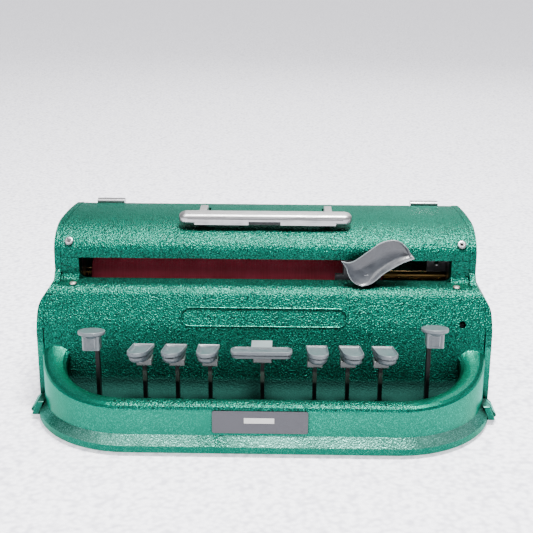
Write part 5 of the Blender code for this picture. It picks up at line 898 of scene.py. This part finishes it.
finger = start(
    "head_lever_plate", bpy.ops.mesh.primitive_grid_add,
    x_subdivisions=FINGER_STEPS[0], y_subdivisions=FINGER_STEPS[1], size=1.0,
)
reshape(finger, lambda corner: finger_point(closer(corner.co.x + 0.5), closer(0.5 - corner.co.y)))
bpy.ops.mesh.select_all(action="SELECT")
bpy.ops.mesh.extrude_region_move(TRANSFORM_OT_translate={"value": (0.0, FINGER_THICKNESS, 0.0)})
face_outwards()
finish(
    finger, dark_plastic, "head_lever", ("head_lever",),
    edge=0.0003, sharp=ROUND_SHARP,
)

# The rim's paler grey is a painted highlight along the plate's edge
finger_rim = start(
    "head_lever_rim", bpy.ops.mesh.primitive_circle_add, vertices=4 * FINGER_RIM_STEPS, radius=1.0
)
reshape(finger_rim, lambda corner: rim_point(corner.index))
finger_rim = as_tube(FINGER_RIM_RADIUS, rounding=2)
face_outwards()
finish(finger_rim, rim_plastic, "head_lever", sharp=70.0)

arm_side = sum(LEVER_ARM) / 2.0
arm_width = LEVER_ARM[1] - LEVER_ARM[0]
arm_front = FINGER_LOW_BACK + FINGER_DISH + FINGER_THICKNESS / 2.0
pin_middle = (arm_side, *LEVER_PIN)
arm = start(
    "head_lever_arm", bpy.ops.mesh.primitive_cylinder_add, vertices=40,
    radius=LEVER_ARM_THICKNESS, depth=arm_width, location=pin_middle, rotation=(0.0, QUARTER_TURN, 0.0),
)
add_block(
    (arm_side, (arm_front + LEVER_PIN[0]) / 2.0, LEVER_PIN[1]),
    (arm_width - FINGER_BEAD, LEVER_PIN[0] - arm_front, LEVER_ARM_THICKNESS),
)
bpy.ops.mesh.primitive_cylinder_add(
    vertices=32, radius=LEVER_PIN_RADIUS, depth=2.0 * LEVER_PIN_HALF,
    location=pin_middle, rotation=(0.0, QUARTER_TURN, 0.0),
)
finish(
    arm, dark_plastic, "head_lever", ("head_lever",),
    edge=0.0003, sharp=ROUND_SHARP,
)

# Bell and hammer
# A small brass bell stands on the base plate, and a plated hammer beside it strikes
# it near the end of a line.
refined("bell", brass, edge=0.0003)
refined("bell_hammer", plated_steel, edge=0.0002)

# Front casting
# One aluminium casting makes the round rail, the well behind it and the front panel
# up to the ledge.  It wears hammered metallic enamel.
ENAMEL_DEEP = (0.0, 0.026, 0.019, 1.0)
ENAMEL_GREEN = (0.0, 0.112, 0.070, 1.0)
ENAMEL_BRIGHT = (0.03, 0.58, 0.40, 1.0)
# Painted highlight on the flange's slope
ENAMEL_PAINTED_HIGHLIGHT = (0.34, 0.85, 0.72, 1.0)
ENAMEL_SHADED = (0.0, 0.007, 0.005, 1.0)
ENAMEL_EDGE_TINT = (0.20, 0.72, 0.60, 1.0)
ENAMEL_METAL = 0.95
ENAMEL_COAT = 0.10
ENAMEL_COAT_ROUGHNESS = 0.14
ENAMEL_CLOUDS_PER_METRE = 18.0
ENAMEL_DUST = 0.06
ENAMEL_SHELTER_SHADE = (0.06, 0.95)
ENAMEL_ROUGHER = 0.48
# Cells of the hammered skin, their height, and how a ripple pulls them out of line
CELLS_PER_METRE = 860.0
CELL_SMOOTHNESS = 0.7
CELL_SPAN = (0.15, 0.75)
CELL_HEIGHT = 0.00035
RIPPLES_PER_METRE = 420.0
RIPPLE_PULL = 0.0014
GRAINS_PER_METRE = 1500.0
GRAIN_SHARE = 0.45
FLAKES_PER_METRE = 2400.0
FLAKE_SPAN = (0.72, 0.95)
# The rail's plan is two quarter ellipses about these corners.  Each zone fades in between
# two shares of their reach and between two heights.
RAIL_CORNER = (0.0992, -0.0270)
RAIL_REACH = (0.0797, 0.0870)
RAIL_BACK_SPAN = (-0.029, -0.033)
RAIL_ZONES = {
    "Face": ((0.86, 0.90), (0.0355, 0.0335)),
    "Horn": ((0.68, 0.74), (0.058, 0.054)),
    "Well": ((0.82, 0.78), (0.0345, 0.031)),
}
HORN_SIDE_SPAN = (0.105, 0.115)
# Upward share of the normal as the rail's steep face turns into its chamfer
CHAMFER_SPAN = (0.35, 0.55)
# Share of the chamfer whose cells are smoothed and which is painted with a highlight
CHAMFER_SMOOTH_AND_HIGHLIGHT = 0.6
CHAMFER_FLAKES = 0.7
CHAMFER_CLOUDS = 0.5
RUBBED_DEPTH = 0.10
# Share of the well painted as shade
WELL_SHADE = 0.95
WELL_DULLNESS = 3.0

hammered, entry, leave = new_group(
    "hammered_enamel", {"Place": None, "Cells per metre": CELLS_PER_METRE}, ("Height", "Hollow", "Flake")
)
ripple = noise(hammered, entry["Place"], RIPPLES_PER_METRE, detail=2.0)["Color"]
pulled = add(
    hammered, "VectorMath", {0: ripple, 1: (RIPPLE_PULL,) * 3, 2: entry["Place"]}, operation="MULTIPLY_ADD"
)
cells = add(
    hammered, "TexVoronoi",
    {"Vector": pulled.outputs[0], "Scale": entry["Cells per metre"], "Smoothness": CELL_SMOOTHNESS},
    feature="SMOOTH_F1",
)
grain = noise(hammered, entry["Place"], GRAINS_PER_METRE, detail=3.0)["Fac"]
dome = stretch(hammered, cells.outputs["Distance"], *CELL_SPAN)
chips = add(hammered, "TexVoronoi", {"Vector": entry["Place"], "Scale": FLAKES_PER_METRE})
luck = axis_of(hammered, chips.outputs["Color"], "X")
hammered.links.new(sum_of(hammered, dome, grain, GRAIN_SHARE), leave["Height"])
hammered.links.new(dome, leave["Hollow"])
hammered.links.new(stretch(hammered, luck, *FLAKE_SPAN), leave["Flake"])


def size_of(tree, value):
    """A value without its sign."""
    return add(tree, "Math", {0: value}, operation="ABSOLUTE").outputs[0]


rail_places, entry, leave = new_group("rail_places", {"Place": None}, tuple(RAIL_ZONES))
side, back, up = (axis_of(rail_places, entry["Place"], axis) for axis in "XYZ")
side = size_of(rail_places, side)
beyond = stretch(rail_places, side, RAIL_CORNER[0], RAIL_CORNER[0] + 2.0 * RAIL_REACH[0], 0.0, 2.0)
ahead = stretch(rail_places, back, RAIL_CORNER[1], RAIL_CORNER[1] - 2.0 * RAIL_REACH[1], 0.0, 2.0)
both = add(rail_places, "CombineXYZ", {"X": beyond, "Y": ahead}).outputs[0]
outward = add(rail_places, "VectorMath", {0: both}, operation="LENGTH").outputs["Value"]
in_front = stretch(rail_places, back, *RAIL_BACK_SPAN)
for zone, (reach_shares, heights) in RAIL_ZONES.items():
    limits = [in_front, stretch(rail_places, outward, *reach_shares), stretch(rail_places, up, *heights)]
    if zone == "Horn":
        limits.append(stretch(rail_places, side, *HORN_SIDE_SPAN))
    rail_places.links.new(product(rail_places, *limits), leave[zone])


def hammered_enamel(name, height, roughness, brightness):
    """Green hammered enamel: dark hollows, bright flakes, a thin clear coat and dust, with painted shade in
    sheltered places and in the well, and a painted highlight on the flange's slope.
    """
    numbers = {"Specular Tint": ENAMEL_EDGE_TINT, "Coat Roughness": ENAMEL_COAT_ROUGHNESS, "Coat IOR": 1.5}
    material, tree, shader, place = new_material(name, numbers)
    enamel = place_group(tree, hammered, place, CELLS_PER_METRE)
    clouds = mask_of(tree, mottle, place, ENAMEL_CLOUDS_PER_METRE)
    dust_mask = mask_of(tree, dust, place, ENAMEL_DUST)
    painted_shade_mask = mask_of(tree, shelter_shade, *ENAMEL_SHELTER_SHADE)
    rail = place_group(tree, rail_places, place)
    # Hands have rubbed the rail's face and its horns smooth, so their cells hardly show
    rise = size_of(tree, axis_of(tree, add(tree, "NewGeometry").outputs["Normal"], "Z"))
    face = product(tree, rail["Face"], stretch(tree, rise, *reversed(CHAMFER_SPAN)))
    chamfer = product(tree, rail["Face"], stretch(tree, rise, *CHAMFER_SPAN), CHAMFER_SMOOTH_AND_HIGHLIGHT)
    rubbed_smooth = larger(tree, larger(tree, face, rail["Horn"]), chamfer)
    depth = blend(tree, rubbed_smooth, 1.0, RUBBED_DEPTH)
    hollow = product(tree, enamel["Hollow"], depth)
    bumps = relief(tree, product(tree, enamel["Height"], depth), height)
    colour = between(tree, hollow, ENAMEL_GREEN, ENAMEL_DEEP)
    glint = product(tree, enamel["Flake"], blend(tree, clouds, brightness / 3.0, brightness))
    colour = between(tree, glint, colour, ENAMEL_BRIGHT)
    # Painted shade in sheltered places
    colour = between(tree, painted_shade_mask, colour, ENAMEL_SHADED)
    # Painted highlight: the flange's upward slope is painted pale in streaks of flakes and clouds, for the
    # lamp's reflection along it
    highlight_streaks = sum_of(tree, product(tree, enamel["Flake"], CHAMFER_FLAKES), clouds, CHAMFER_CLOUDS)
    colour = between(tree, product(tree, chamfer, highlight_streaks), colour, ENAMEL_PAINTED_HIGHLIGHT)
    # Painted shade: the well between the rail and the panel is painted near black, with no metal, coat or
    # dust, so that it reads as deep shade
    colour = between(tree, product(tree, rail["Well"], WELL_SHADE), colour, ENAMEL_SHADED)
    open_air = blend(tree, rail["Well"], 1.0, 0.0)
    dull = sum_of(tree, hollow, rail["Well"], WELL_DULLNESS)
    feed(
        tree, shader,
        colour=between(tree, product(tree, dust_mask, open_air), colour, DUST_COLOUR),
        metal=product(tree, open_air, ENAMEL_METAL),
        coat=product(tree, open_air, ENAMEL_COAT),
        roughness=stretch(tree, dull, 0.0, 1.0 + WELL_DULLNESS, roughness, roughness + ENAMEL_ROUGHER),
        relief=bumps,
        coat_relief=bumps,
    )
    return material


panel_enamel = hammered_enamel("green_enamel", CELL_HEIGHT, roughness=0.36, brightness=0.45)
# Painted highlight: a smoother enamel with far brighter flakes, for the pale line round the nameplate recess
highlight_enamel = hammered_enamel("green_enamel_highlight", CELL_HEIGHT / 5.0, roughness=0.30, brightness=2.0)
refined("front_cover", panel_enamel, edge=0.0005, sharp=18.0)

RECESS_CENTRE = Vector((0.0, -0.0317, 0.0780))
RECESS_LEAN = math.radians(-26.5)
RECESS_HALF_STRAIGHT = 0.05755
RECESS_RADIUS = 0.00725
RIM_RADIUS = 0.00075
RIM_STEPS = 64
rim = start(
    "nameplate_recess_rim", bpy.ops.mesh.primitive_circle_add,
    vertices=RIM_STEPS, radius=RECESS_RADIUS, rotation=(QUARTER_TURN, 0.0, 0.0),
)
pick("VERT", lambda corner, normal: corner.x > 0.0)
bpy.ops.transform.translate(value=(RECESS_HALF_STRAIGHT, 0.0, 0.0))
pick("VERT", lambda corner, normal: corner.x <= 0.0)
bpy.ops.transform.translate(value=(-RECESS_HALF_STRAIGHT, 0.0, 0.0))
rim = as_tube(RIM_RADIUS, rounding=3)
rim.data.transform(Matrix.Translation(RECESS_CENTRE) @ Matrix.Rotation(RECESS_LEAN, 4, "X"))
face_outwards()
finish(rim, highlight_enamel, "frame", sharp=60.0)

LEDGE_PIN = (0.1508, -0.0165, 0.0995)
LEDGE_PIN_RADIUS = 0.0027
LEDGE_PIN_HEIGHT = 0.0015
PIN_METAL = (0.62, 0.56, 0.50, 1.0)
PIN_METAL_DULL = (0.45, 0.38, 0.32, 1.0)
pin_metal = bare_metal("pin_metal", PIN_METAL, PIN_METAL_DULL, PIN_METAL, roughness=0.35)
pin = start(
    "ledge_pin_right", bpy.ops.mesh.primitive_cylinder_add,
    vertices=32, radius=LEDGE_PIN_RADIUS, depth=LEDGE_PIN_HEIGHT, location=LEDGE_PIN,
)
pick("FACE", lambda middle, normal: normal.z > 0.9)
bpy.ops.mesh.inset(thickness=LEDGE_PIN_RADIUS / 3.0, depth=LEDGE_PIN_HEIGHT / 5.0)
finish(pin, pin_metal, "frame", edge=0.0004, segments=3)
duplicate(pin, "ledge_pin_left", "frame", shift=(-2.0 * LEDGE_PIN[0], 0.0, 0.0))

# Side panels, back panel and lid
# Cast and pressed panels in the same enamel close the case.  The lid is one sheet
# rolled over the top and held by a screw at each front corner.
for panel_node in ("side_panel_left", "side_panel_right", "back_panel"):
    refined(panel_node, panel_enamel, edge=0.0005, sharp=30.0)
refined("top_cover", panel_enamel, edge=0.0004, sharp=30.0)

EAR_MIDDLE = Vector((0.1775, -0.0480, 0.0098))
EAR_SIZE = (0.0062, 0.0165, 0.0115)
EAR_TOP_INWARD = 0.0045
EAR_EDGE = 0.0012
SCREW_SIDES = 40
SCREW_RADIUS = 0.0035
SCREW_HEIGHT = 0.0019
SCREW_SEAT = 0.0002
# Height and radius of each step of a screw's dome, as shares
SCREW_DOME = ((0.55, 1.00), (0.78, 0.95), (0.93, 0.82), (1.00, 0.62))
CROSS_LENGTH = 0.0042
CROSS_WIDTH = 0.0009
CROSS_HEIGHT = 0.0028
LID_SCREW_LEAN = math.radians(49.4)
LID_SCREW_PLACE = (0.1555, -0.0010, 0.1293)
SCREW_TURNS = {"lid_screw_left": (-1.0, 0.5), "lid_screw_right": (1.0, 1.1)}


def start_block(name, middle, size):
    """Start a piece as a block and open it for editing."""
    piece = start(name, bpy.ops.mesh.primitive_cube_add, size=1.0, location=middle)
    bpy.ops.transform.resize(value=size, center_override=middle)
    return piece


def step_up(rise, wider, longer, centre):
    """Draw the selected top up by one step, and make it wider and longer about a centre."""
    bpy.ops.mesh.extrude_region_move(TRANSFORM_OT_translate={"value": (0.0, 0.0, rise)})
    bpy.ops.transform.resize(value=(wider, longer, 1.0), center_override=centre)


def climb(steps, share, width, height, centre):
    """Draw the selected top up through steps of height and width, from a first share and width."""
    for next_share, next_width in steps:
        wider = next_width / width
        step_up(height * (next_share - share), wider, wider, centre)
        share, width = next_share, next_width


def cross_screw(name):
    """Domed screw head with a cross cut into it, standing upright for now."""
    piece = start(
        name, bpy.ops.mesh.primitive_circle_add,
        vertices=SCREW_SIDES, fill_type="NGON", radius=SCREW_RADIUS, location=(0.0, 0.0, SCREW_SEAT),
    )
    climb(SCREW_DOME, 0.0, 1.0, SCREW_HEIGHT, (0.0, 0.0, 0.0))
    face_outwards()
    bpy.ops.object.mode_set(mode="OBJECT")
    top = (0.0, 0.0, SCREW_HEIGHT)
    cutter = start_block("cross_cutter", top, (CROSS_LENGTH, CROSS_WIDTH, CROSS_HEIGHT))
    add_block(top, (CROSS_WIDTH, CROSS_LENGTH, CROSS_HEIGHT))
    bpy.ops.object.mode_set(mode="OBJECT")
    activate(piece)
    cross = piece.modifiers.new("cross", "BOOLEAN")
    cross.operation = "DIFFERENCE"
    cross.use_self = True
    cross.object = cutter
    bpy.ops.object.modifier_apply(modifier=cross.name)
    bpy.data.objects.remove(cutter)
    return piece


ear = start_block("side_ear_right", EAR_MIDDLE, EAR_SIZE)
pick("VERT", lambda corner, normal: corner.z > EAR_MIDDLE.z)
bpy.ops.transform.translate(value=(-EAR_TOP_INWARD, 0.0, 0.0))
bpy.ops.mesh.select_all(action="SELECT")
bpy.ops.mesh.bevel(offset=EAR_EDGE, segments=3, affect="EDGES")
finish(ear, panel_enamel, "frame")
duplicate(ear, "side_ear_left", "frame", mirrored=True)

for screw_node, (screw_side, screw_turn) in SCREW_TURNS.items():
    screw = cross_screw(screw_node + "_head")
    lean = Matrix.Rotation(LID_SCREW_LEAN, 4, "X") @ Matrix.Rotation(screw_turn, 4, "Z")
    side, back, height = LID_SCREW_PLACE
    screw.data.transform(Matrix.Translation((screw_side * side, back, height)) @ lean)
    finish(screw, plated_steel, "frame", (screw_node,), edge=0.0001)

# Side knobs
# Two fluted knobs of dark grey plastic are pressed on the ends of the knob shaft.
for knob_node in ("knob_left", "knob_right"):
    refined(knob_node, dark_plastic, edge=0.0005)

# Key caps
# Each cap is moulded grey plastic, pushed on its stem.  The dot caps reach forward
# in steps under a dished plate, the space bar is long, and the end caps are round.
STEM_BACK = -0.069
CAP_REAR = 0.0060
CAP_FRONT = 0.0150
CAP_HALF_WIDTH = 0.0081
CAP_FRONT_HALF_WIDTH = 0.0075
CAP_REAR_SHIFT = 0.0012
CAP_FRONT_SHIFTS = (0.0028, 0.0049, 0.0056)
CAP_LOBE = 0.0074
CAP_MIDDLE_BACK = 0.0030
# Height and width of each step of a dot cap, as shares of its whole
CAP_STEPS = (
    (0.44, 0.82), (0.48, 0.86), (0.52, 0.88), (0.66, 0.89), (0.70, 0.87), (0.715, 0.82),
    (0.735, 0.82), (0.75, 0.93), (0.77, 0.98), (0.80, 1.00), (0.94, 1.00), (0.985, 0.985),
    (1.00, 0.96), (1.00, 0.92), (0.955, 0.88), (0.91, 0.80), (0.90, 0.45),
)
CAP_FOOT_SHARE = 0.76
CAP_BODY_SHARE = 0.38
FOOT_BLOCK = (0.0118, 0.0110)
FOOT_BLOCK_EDGE = 0.0008
# Painted shade: the block under each cap is near black with a green tint, standing for the shade under the
# cap
CAP_FOOT_SHADE = (0.012, 0.018, 0.016, 1.0)
CAP_FOOT_SHADE_PALE = (0.05, 0.06, 0.058, 1.0)
SPACE_HALF = 0.0232
SPACE_FRONT = 0.0068
SPACE_REAR = 0.0046
SPACE_SHIFT = -0.0008
SPACE_CORNER = 0.0047
SPACE_FOOT_INSET = 0.0018
# Height of each step of the space bar as a share, and how far it stands in, in metres
SPACE_STEPS = (
    (0.40, 0.0012), (0.43, 0.0009), (0.62, 0.0008), (0.65, 0.0011), (0.66, 0.0018), (0.68, 0.0018),
    (0.69, 0.0006), (0.72, 0.0001), (0.75, 0.0000), (0.94, 0.0000), (0.99, 0.0003), (1.00, 0.0006),
    (1.00, 0.0011), (0.93, 0.0016), (0.88, 0.0040),
)
SPACE_PLATE_SHARE = 0.38
SPACE_BLOCK = (0.0140, 0.0092)
SPACE_TAB_HALF = 0.00785
SPACE_TAB_REAR = 0.0172
SPACE_TAB_THICKNESS = 0.0026
DISC_SIDES = 64
DISC_RADIUS = 0.01025
DISC_THICKNESS = 0.0028
DISC_TILT = math.radians(9.0)
DISC_NECK = 0.0031
# Height in the disc and radius of each step of an end cap, as shares
DISC_STEPS = (
    (-0.10, 0.80), (-0.04, 0.93), (0.10, 0.985), (0.25, 1.00), (0.78, 1.00), (0.93, 0.98),
    (1.00, 0.94), (1.00, 0.88), (0.92, 0.80), (0.88, 0.50),
)
DISC_FOOT_SHARE = 0.50
END_BLOCK = (0.0130, 0.0115)
END_BLOCK_EDGE = 0.0016
END_PANEL_INSET = 0.0016
END_PANEL_RISE = 0.0004
END_CAP_OFFSET = 0.0041
# Height above which an edge counts as upright, and shares of a block beyond which its
# sides and its front are sought
UPRIGHT_EDGE = 0.002
BLOCK_SIDE_SHARE = 0.4
BLOCK_FRONT_SHARE = 0.45

cap_foot_shade_look = moulded("cap_foot_shade", CAP_FOOT_SHADE, CAP_FOOT_SHADE_PALE, roughness=0.25, spots_per_metre=200.0)


def dot_cap(name, key, count):
    """Cap of a dot key, drawn for the right side: a bowed plate on a stepped body."""
    low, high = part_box("cap_" + key)
    stem = abs(stem_side(key))
    height = high[2] - low[2]
    foot = low[2] + CAP_BODY_SHARE * height
    front_shift = CAP_FRONT_SHIFTS[count]
    middle = Vector((stem + CAP_REAR_SHIFT, STEM_BACK - CAP_MIDDLE_BACK, foot))
    plan = Vector((stem, STEM_BACK + (CAP_REAR - CAP_FRONT) / 2.0, foot))
    piece = start(name, bpy.ops.mesh.primitive_plane_add, size=1.0, location=plan)
    bpy.ops.transform.resize(
        value=(2.0 * CAP_HALF_WIDTH, CAP_REAR + CAP_FRONT, 1.0), center_override=plan
    )
    bpy.ops.transform.translate(value=(CAP_REAR_SHIFT, 0.0, 0.0))
    pick("VERT", lambda corner, normal: corner.y < STEM_BACK)
    bpy.ops.transform.translate(value=(front_shift - CAP_REAR_SHIFT, 0.0, 0.0))
    bpy.ops.transform.resize(
        value=(CAP_FRONT_HALF_WIDTH / CAP_HALF_WIDTH, 1.0, 1.0),
        center_override=(stem + front_shift, STEM_BACK, foot),
    )
    bpy.ops.mesh.bevel(offset=CAP_LOBE, segments=10, affect="VERTICES", clamp_overlap=True)
    bpy.ops.mesh.select_all(action="SELECT")
    bpy.ops.transform.resize(value=(CAP_FOOT_SHARE, CAP_FOOT_SHARE, 1.0), center_override=middle)
    climb(CAP_STEPS, CAP_BODY_SHARE, CAP_FOOT_SHARE, height, middle)
    return piece


def foot_block(key, size):
    """Glossy block under a cap, pushed on the stem, painted near black as the shade under the cap."""
    low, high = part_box("cap_" + key)
    top = low[2] + CAP_BODY_SHARE * (high[2] - low[2]) + FOOT_BLOCK_EDGE / 2.0
    middle = Vector((stem_side(key), STEM_BACK, (low[2] + top) / 2.0))
    piece = start_block("cap_" + key + "_foot", middle, (*size, top - low[2]))
    bpy.ops.mesh.bevel(offset=FOOT_BLOCK_EDGE, segments=3, affect="EDGES")
    finish(piece, cap_foot_shade_look, "key_" + key)


def space_cap():
    """Long bar of two layers with a block under it and a tab behind."""
    low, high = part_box("cap_space")
    height = high[2] - low[2]
    half_depth = (SPACE_FRONT + SPACE_REAR) / 2.0
    foot = Vector((
        SPACE_SHIFT, STEM_BACK + (SPACE_REAR - SPACE_FRONT) / 2.0, low[2] + SPACE_PLATE_SHARE * height
    ))
    piece = start("cap_space_bar", bpy.ops.mesh.primitive_plane_add, size=1.0, location=foot)
    bpy.ops.transform.resize(value=(2.0 * SPACE_HALF, 2.0 * half_depth, 1.0), center_override=foot)
    bpy.ops.mesh.bevel(offset=SPACE_CORNER, segments=8, affect="VERTICES", clamp_overlap=True)
    bpy.ops.mesh.select_all(action="SELECT")
    inset_foot = ((SPACE_HALF - SPACE_FOOT_INSET) / SPACE_HALF, (half_depth - SPACE_FOOT_INSET) / half_depth)
    bpy.ops.transform.resize(value=(*inset_foot, 1.0), center_override=foot)
    before = (SPACE_PLATE_SHARE, SPACE_FOOT_INSET)
    for share, inset in SPACE_STEPS:
        wider = (SPACE_HALF - inset) / (SPACE_HALF - before[1])
        longer = (half_depth - inset) / (half_depth - before[1])
        step_up(height * (share - before[0]), wider, longer, foot)
        before = (share, inset)
    tab_front = STEM_BACK + SPACE_REAR - SPACE_STEPS[-2][1]
    tab_rear = STEM_BACK + SPACE_TAB_REAR
    add_block(
        (SPACE_SHIFT, (tab_front + tab_rear) / 2.0, high[2] - SPACE_TAB_THICKNESS / 2.0),
        (2.0 * SPACE_TAB_HALF, tab_rear - tab_front, SPACE_TAB_THICKNESS),
    )
    return piece


def end_cap(name, key):
    """Round dished button, tipped back, on a block with a raised front face."""
    low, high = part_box("cap_" + key)
    stem = stem_side(key)
    centre = stem + math.copysign(END_CAP_OFFSET, stem)
    disc_foot = high[2] - DISC_THICKNESS - DISC_RADIUS * math.sin(DISC_TILT)
    disc_centre = Vector((centre, STEM_BACK, disc_foot))
    piece = start(
        name, bpy.ops.mesh.primitive_circle_add, vertices=DISC_SIDES, fill_type="NGON",
        radius=DISC_RADIUS * DISC_FOOT_SHARE, location=disc_centre - Vector((0.0, 0.0, DISC_NECK)),
    )
    climb(DISC_STEPS, -DISC_NECK / DISC_THICKNESS, DISC_FOOT_SHARE, DISC_THICKNESS, disc_centre)
    bpy.ops.mesh.select_all(action="SELECT")
    bpy.ops.transform.rotate(value=DISC_TILT, orient_axis="X", center_override=disc_centre)
    add_block((centre, STEM_BACK, (low[2] + disc_foot) / 2.0), (*END_BLOCK, disc_foot - low[2]))
    side_reach = BLOCK_SIDE_SHARE * END_BLOCK[0]
    block_front = STEM_BACK - BLOCK_FRONT_SHARE * END_BLOCK[1]
    neck_foot = disc_foot - DISC_NECK
    pick("EDGE", lambda middle, along: (
        abs(along.z) > UPRIGHT_EDGE and abs(middle.x - centre) > side_reach and middle.z < neck_foot
    ))
    bpy.ops.mesh.bevel(offset=END_BLOCK_EDGE, segments=4, affect="EDGES")
    pick("FACE", lambda middle, normal: (
        normal.y < -0.99 and middle.y < block_front and middle.z < disc_foot
    ))
    bpy.ops.mesh.inset(thickness=END_PANEL_INSET, depth=0.0)
    bpy.ops.mesh.inset(thickness=END_PANEL_RISE, depth=END_PANEL_RISE)
    return piece


def close_cap(piece, key):
    """A cap's faces turned outwards, its edges eased, and the cap tied to its key."""
    face_outwards()
    finish(piece, grey_plastic, "key_" + key, ("cap_" + key,), edge=0.00025, sharp=40.0)


for right_key, left_key, count in (("dot_4", "dot_1", 0), ("dot_5", "dot_2", 1), ("dot_6", "dot_3", 2)):
    cap = dot_cap("cap_" + right_key + "_plate", right_key, count)
    close_cap(cap, right_key)
    twin_name = "cap_" + left_key
    duplicate(cap, twin_name + "_plate", "key_" + left_key, (twin_name,), mirrored=True)
close_cap(space_cap(), "space")
foot_block("space", SPACE_BLOCK)
for dot_number in DOT_NUMBERS:
    foot_block(f"dot_{dot_number}", FOOT_BLOCK)
for end_key in END_KEYS:
    close_cap(end_cap("cap_" + end_key + "_button", end_key), end_key)

# Carrying handle
# Two bent steel arms turn on a rod under the lid and hold a hollow satin grip, with
# a black block in its notch, painted as shade, and a thin black seam on it.
SATIN = (0.42, 0.42, 0.42, 1.0)
SATIN_DULL = (0.26, 0.26, 0.26, 1.0)
# Middle and size of the black block painted as shade in the notch, and of the seam
GRIP_TRIM = {
    "grip_notch_shade": (Vector((-0.0005, 0.0128, 0.1427)), (0.0253, 0.0070, 0.0026)),
    "grip_seam": (Vector((0.0, 0.0082, 0.1462)), (0.1240, 0.0005, 0.0006)),
}
TRIM_EDGE = 0.00012

satin_metal = bare_metal(
    "satin_metal", SATIN, SATIN_DULL, SATIN, roughness=0.30, lines_per_metre=1800.0
)
refined("carrying_handle", satin_metal, edge=0.0010, segments=3)
refined("handle_hinge_rod", plated_steel, edge=0.0003, sharp=ROUND_SHARP)
# The notch block is painted shade; the seam is a dark joint
for trim_name, (trim_middle, trim_size) in GRIP_TRIM.items():
    trim = start_block(trim_name, trim_middle, trim_size)
    bpy.ops.mesh.bevel(offset=TRIM_EDGE, segments=2, affect="EDGES")
    finish(trim, black_rubber, "handle")

# Label plate
# A thin dark plate is stuck to the rail's face, with one plain pale strip across its
# middle.
LABEL_DARK = (0.025, 0.025, 0.033, 1.0)
LABEL_PALE = (0.04, 0.04, 0.05, 1.0)
STRIP_MIDDLE = Vector((-0.0015, -0.10935, 0.0273))
STRIP_SIZE = (0.0220, 0.0003, 0.0042)
STRIP_EDGE = 0.0001
STRIP_PAPER = (0.60, 0.59, 0.56, 1.0)
STRIP_SHADE = (0.50, 0.49, 0.46, 1.0)

label_look = moulded("label", LABEL_DARK, LABEL_PALE, roughness=0.40, spots_per_metre=200.0)
strip_look = moulded("blank_strip", STRIP_PAPER, STRIP_SHADE, roughness=0.5, spots_per_metre=300.0)
refined("label_plate", label_look, edge=0.0001)
strip = start_block("label_blank_strip", STRIP_MIDDLE, STRIP_SIZE)
bpy.ops.mesh.bevel(offset=STRIP_EDGE, segments=2, affect="EDGES")
finish(strip, strip_look, "frame")
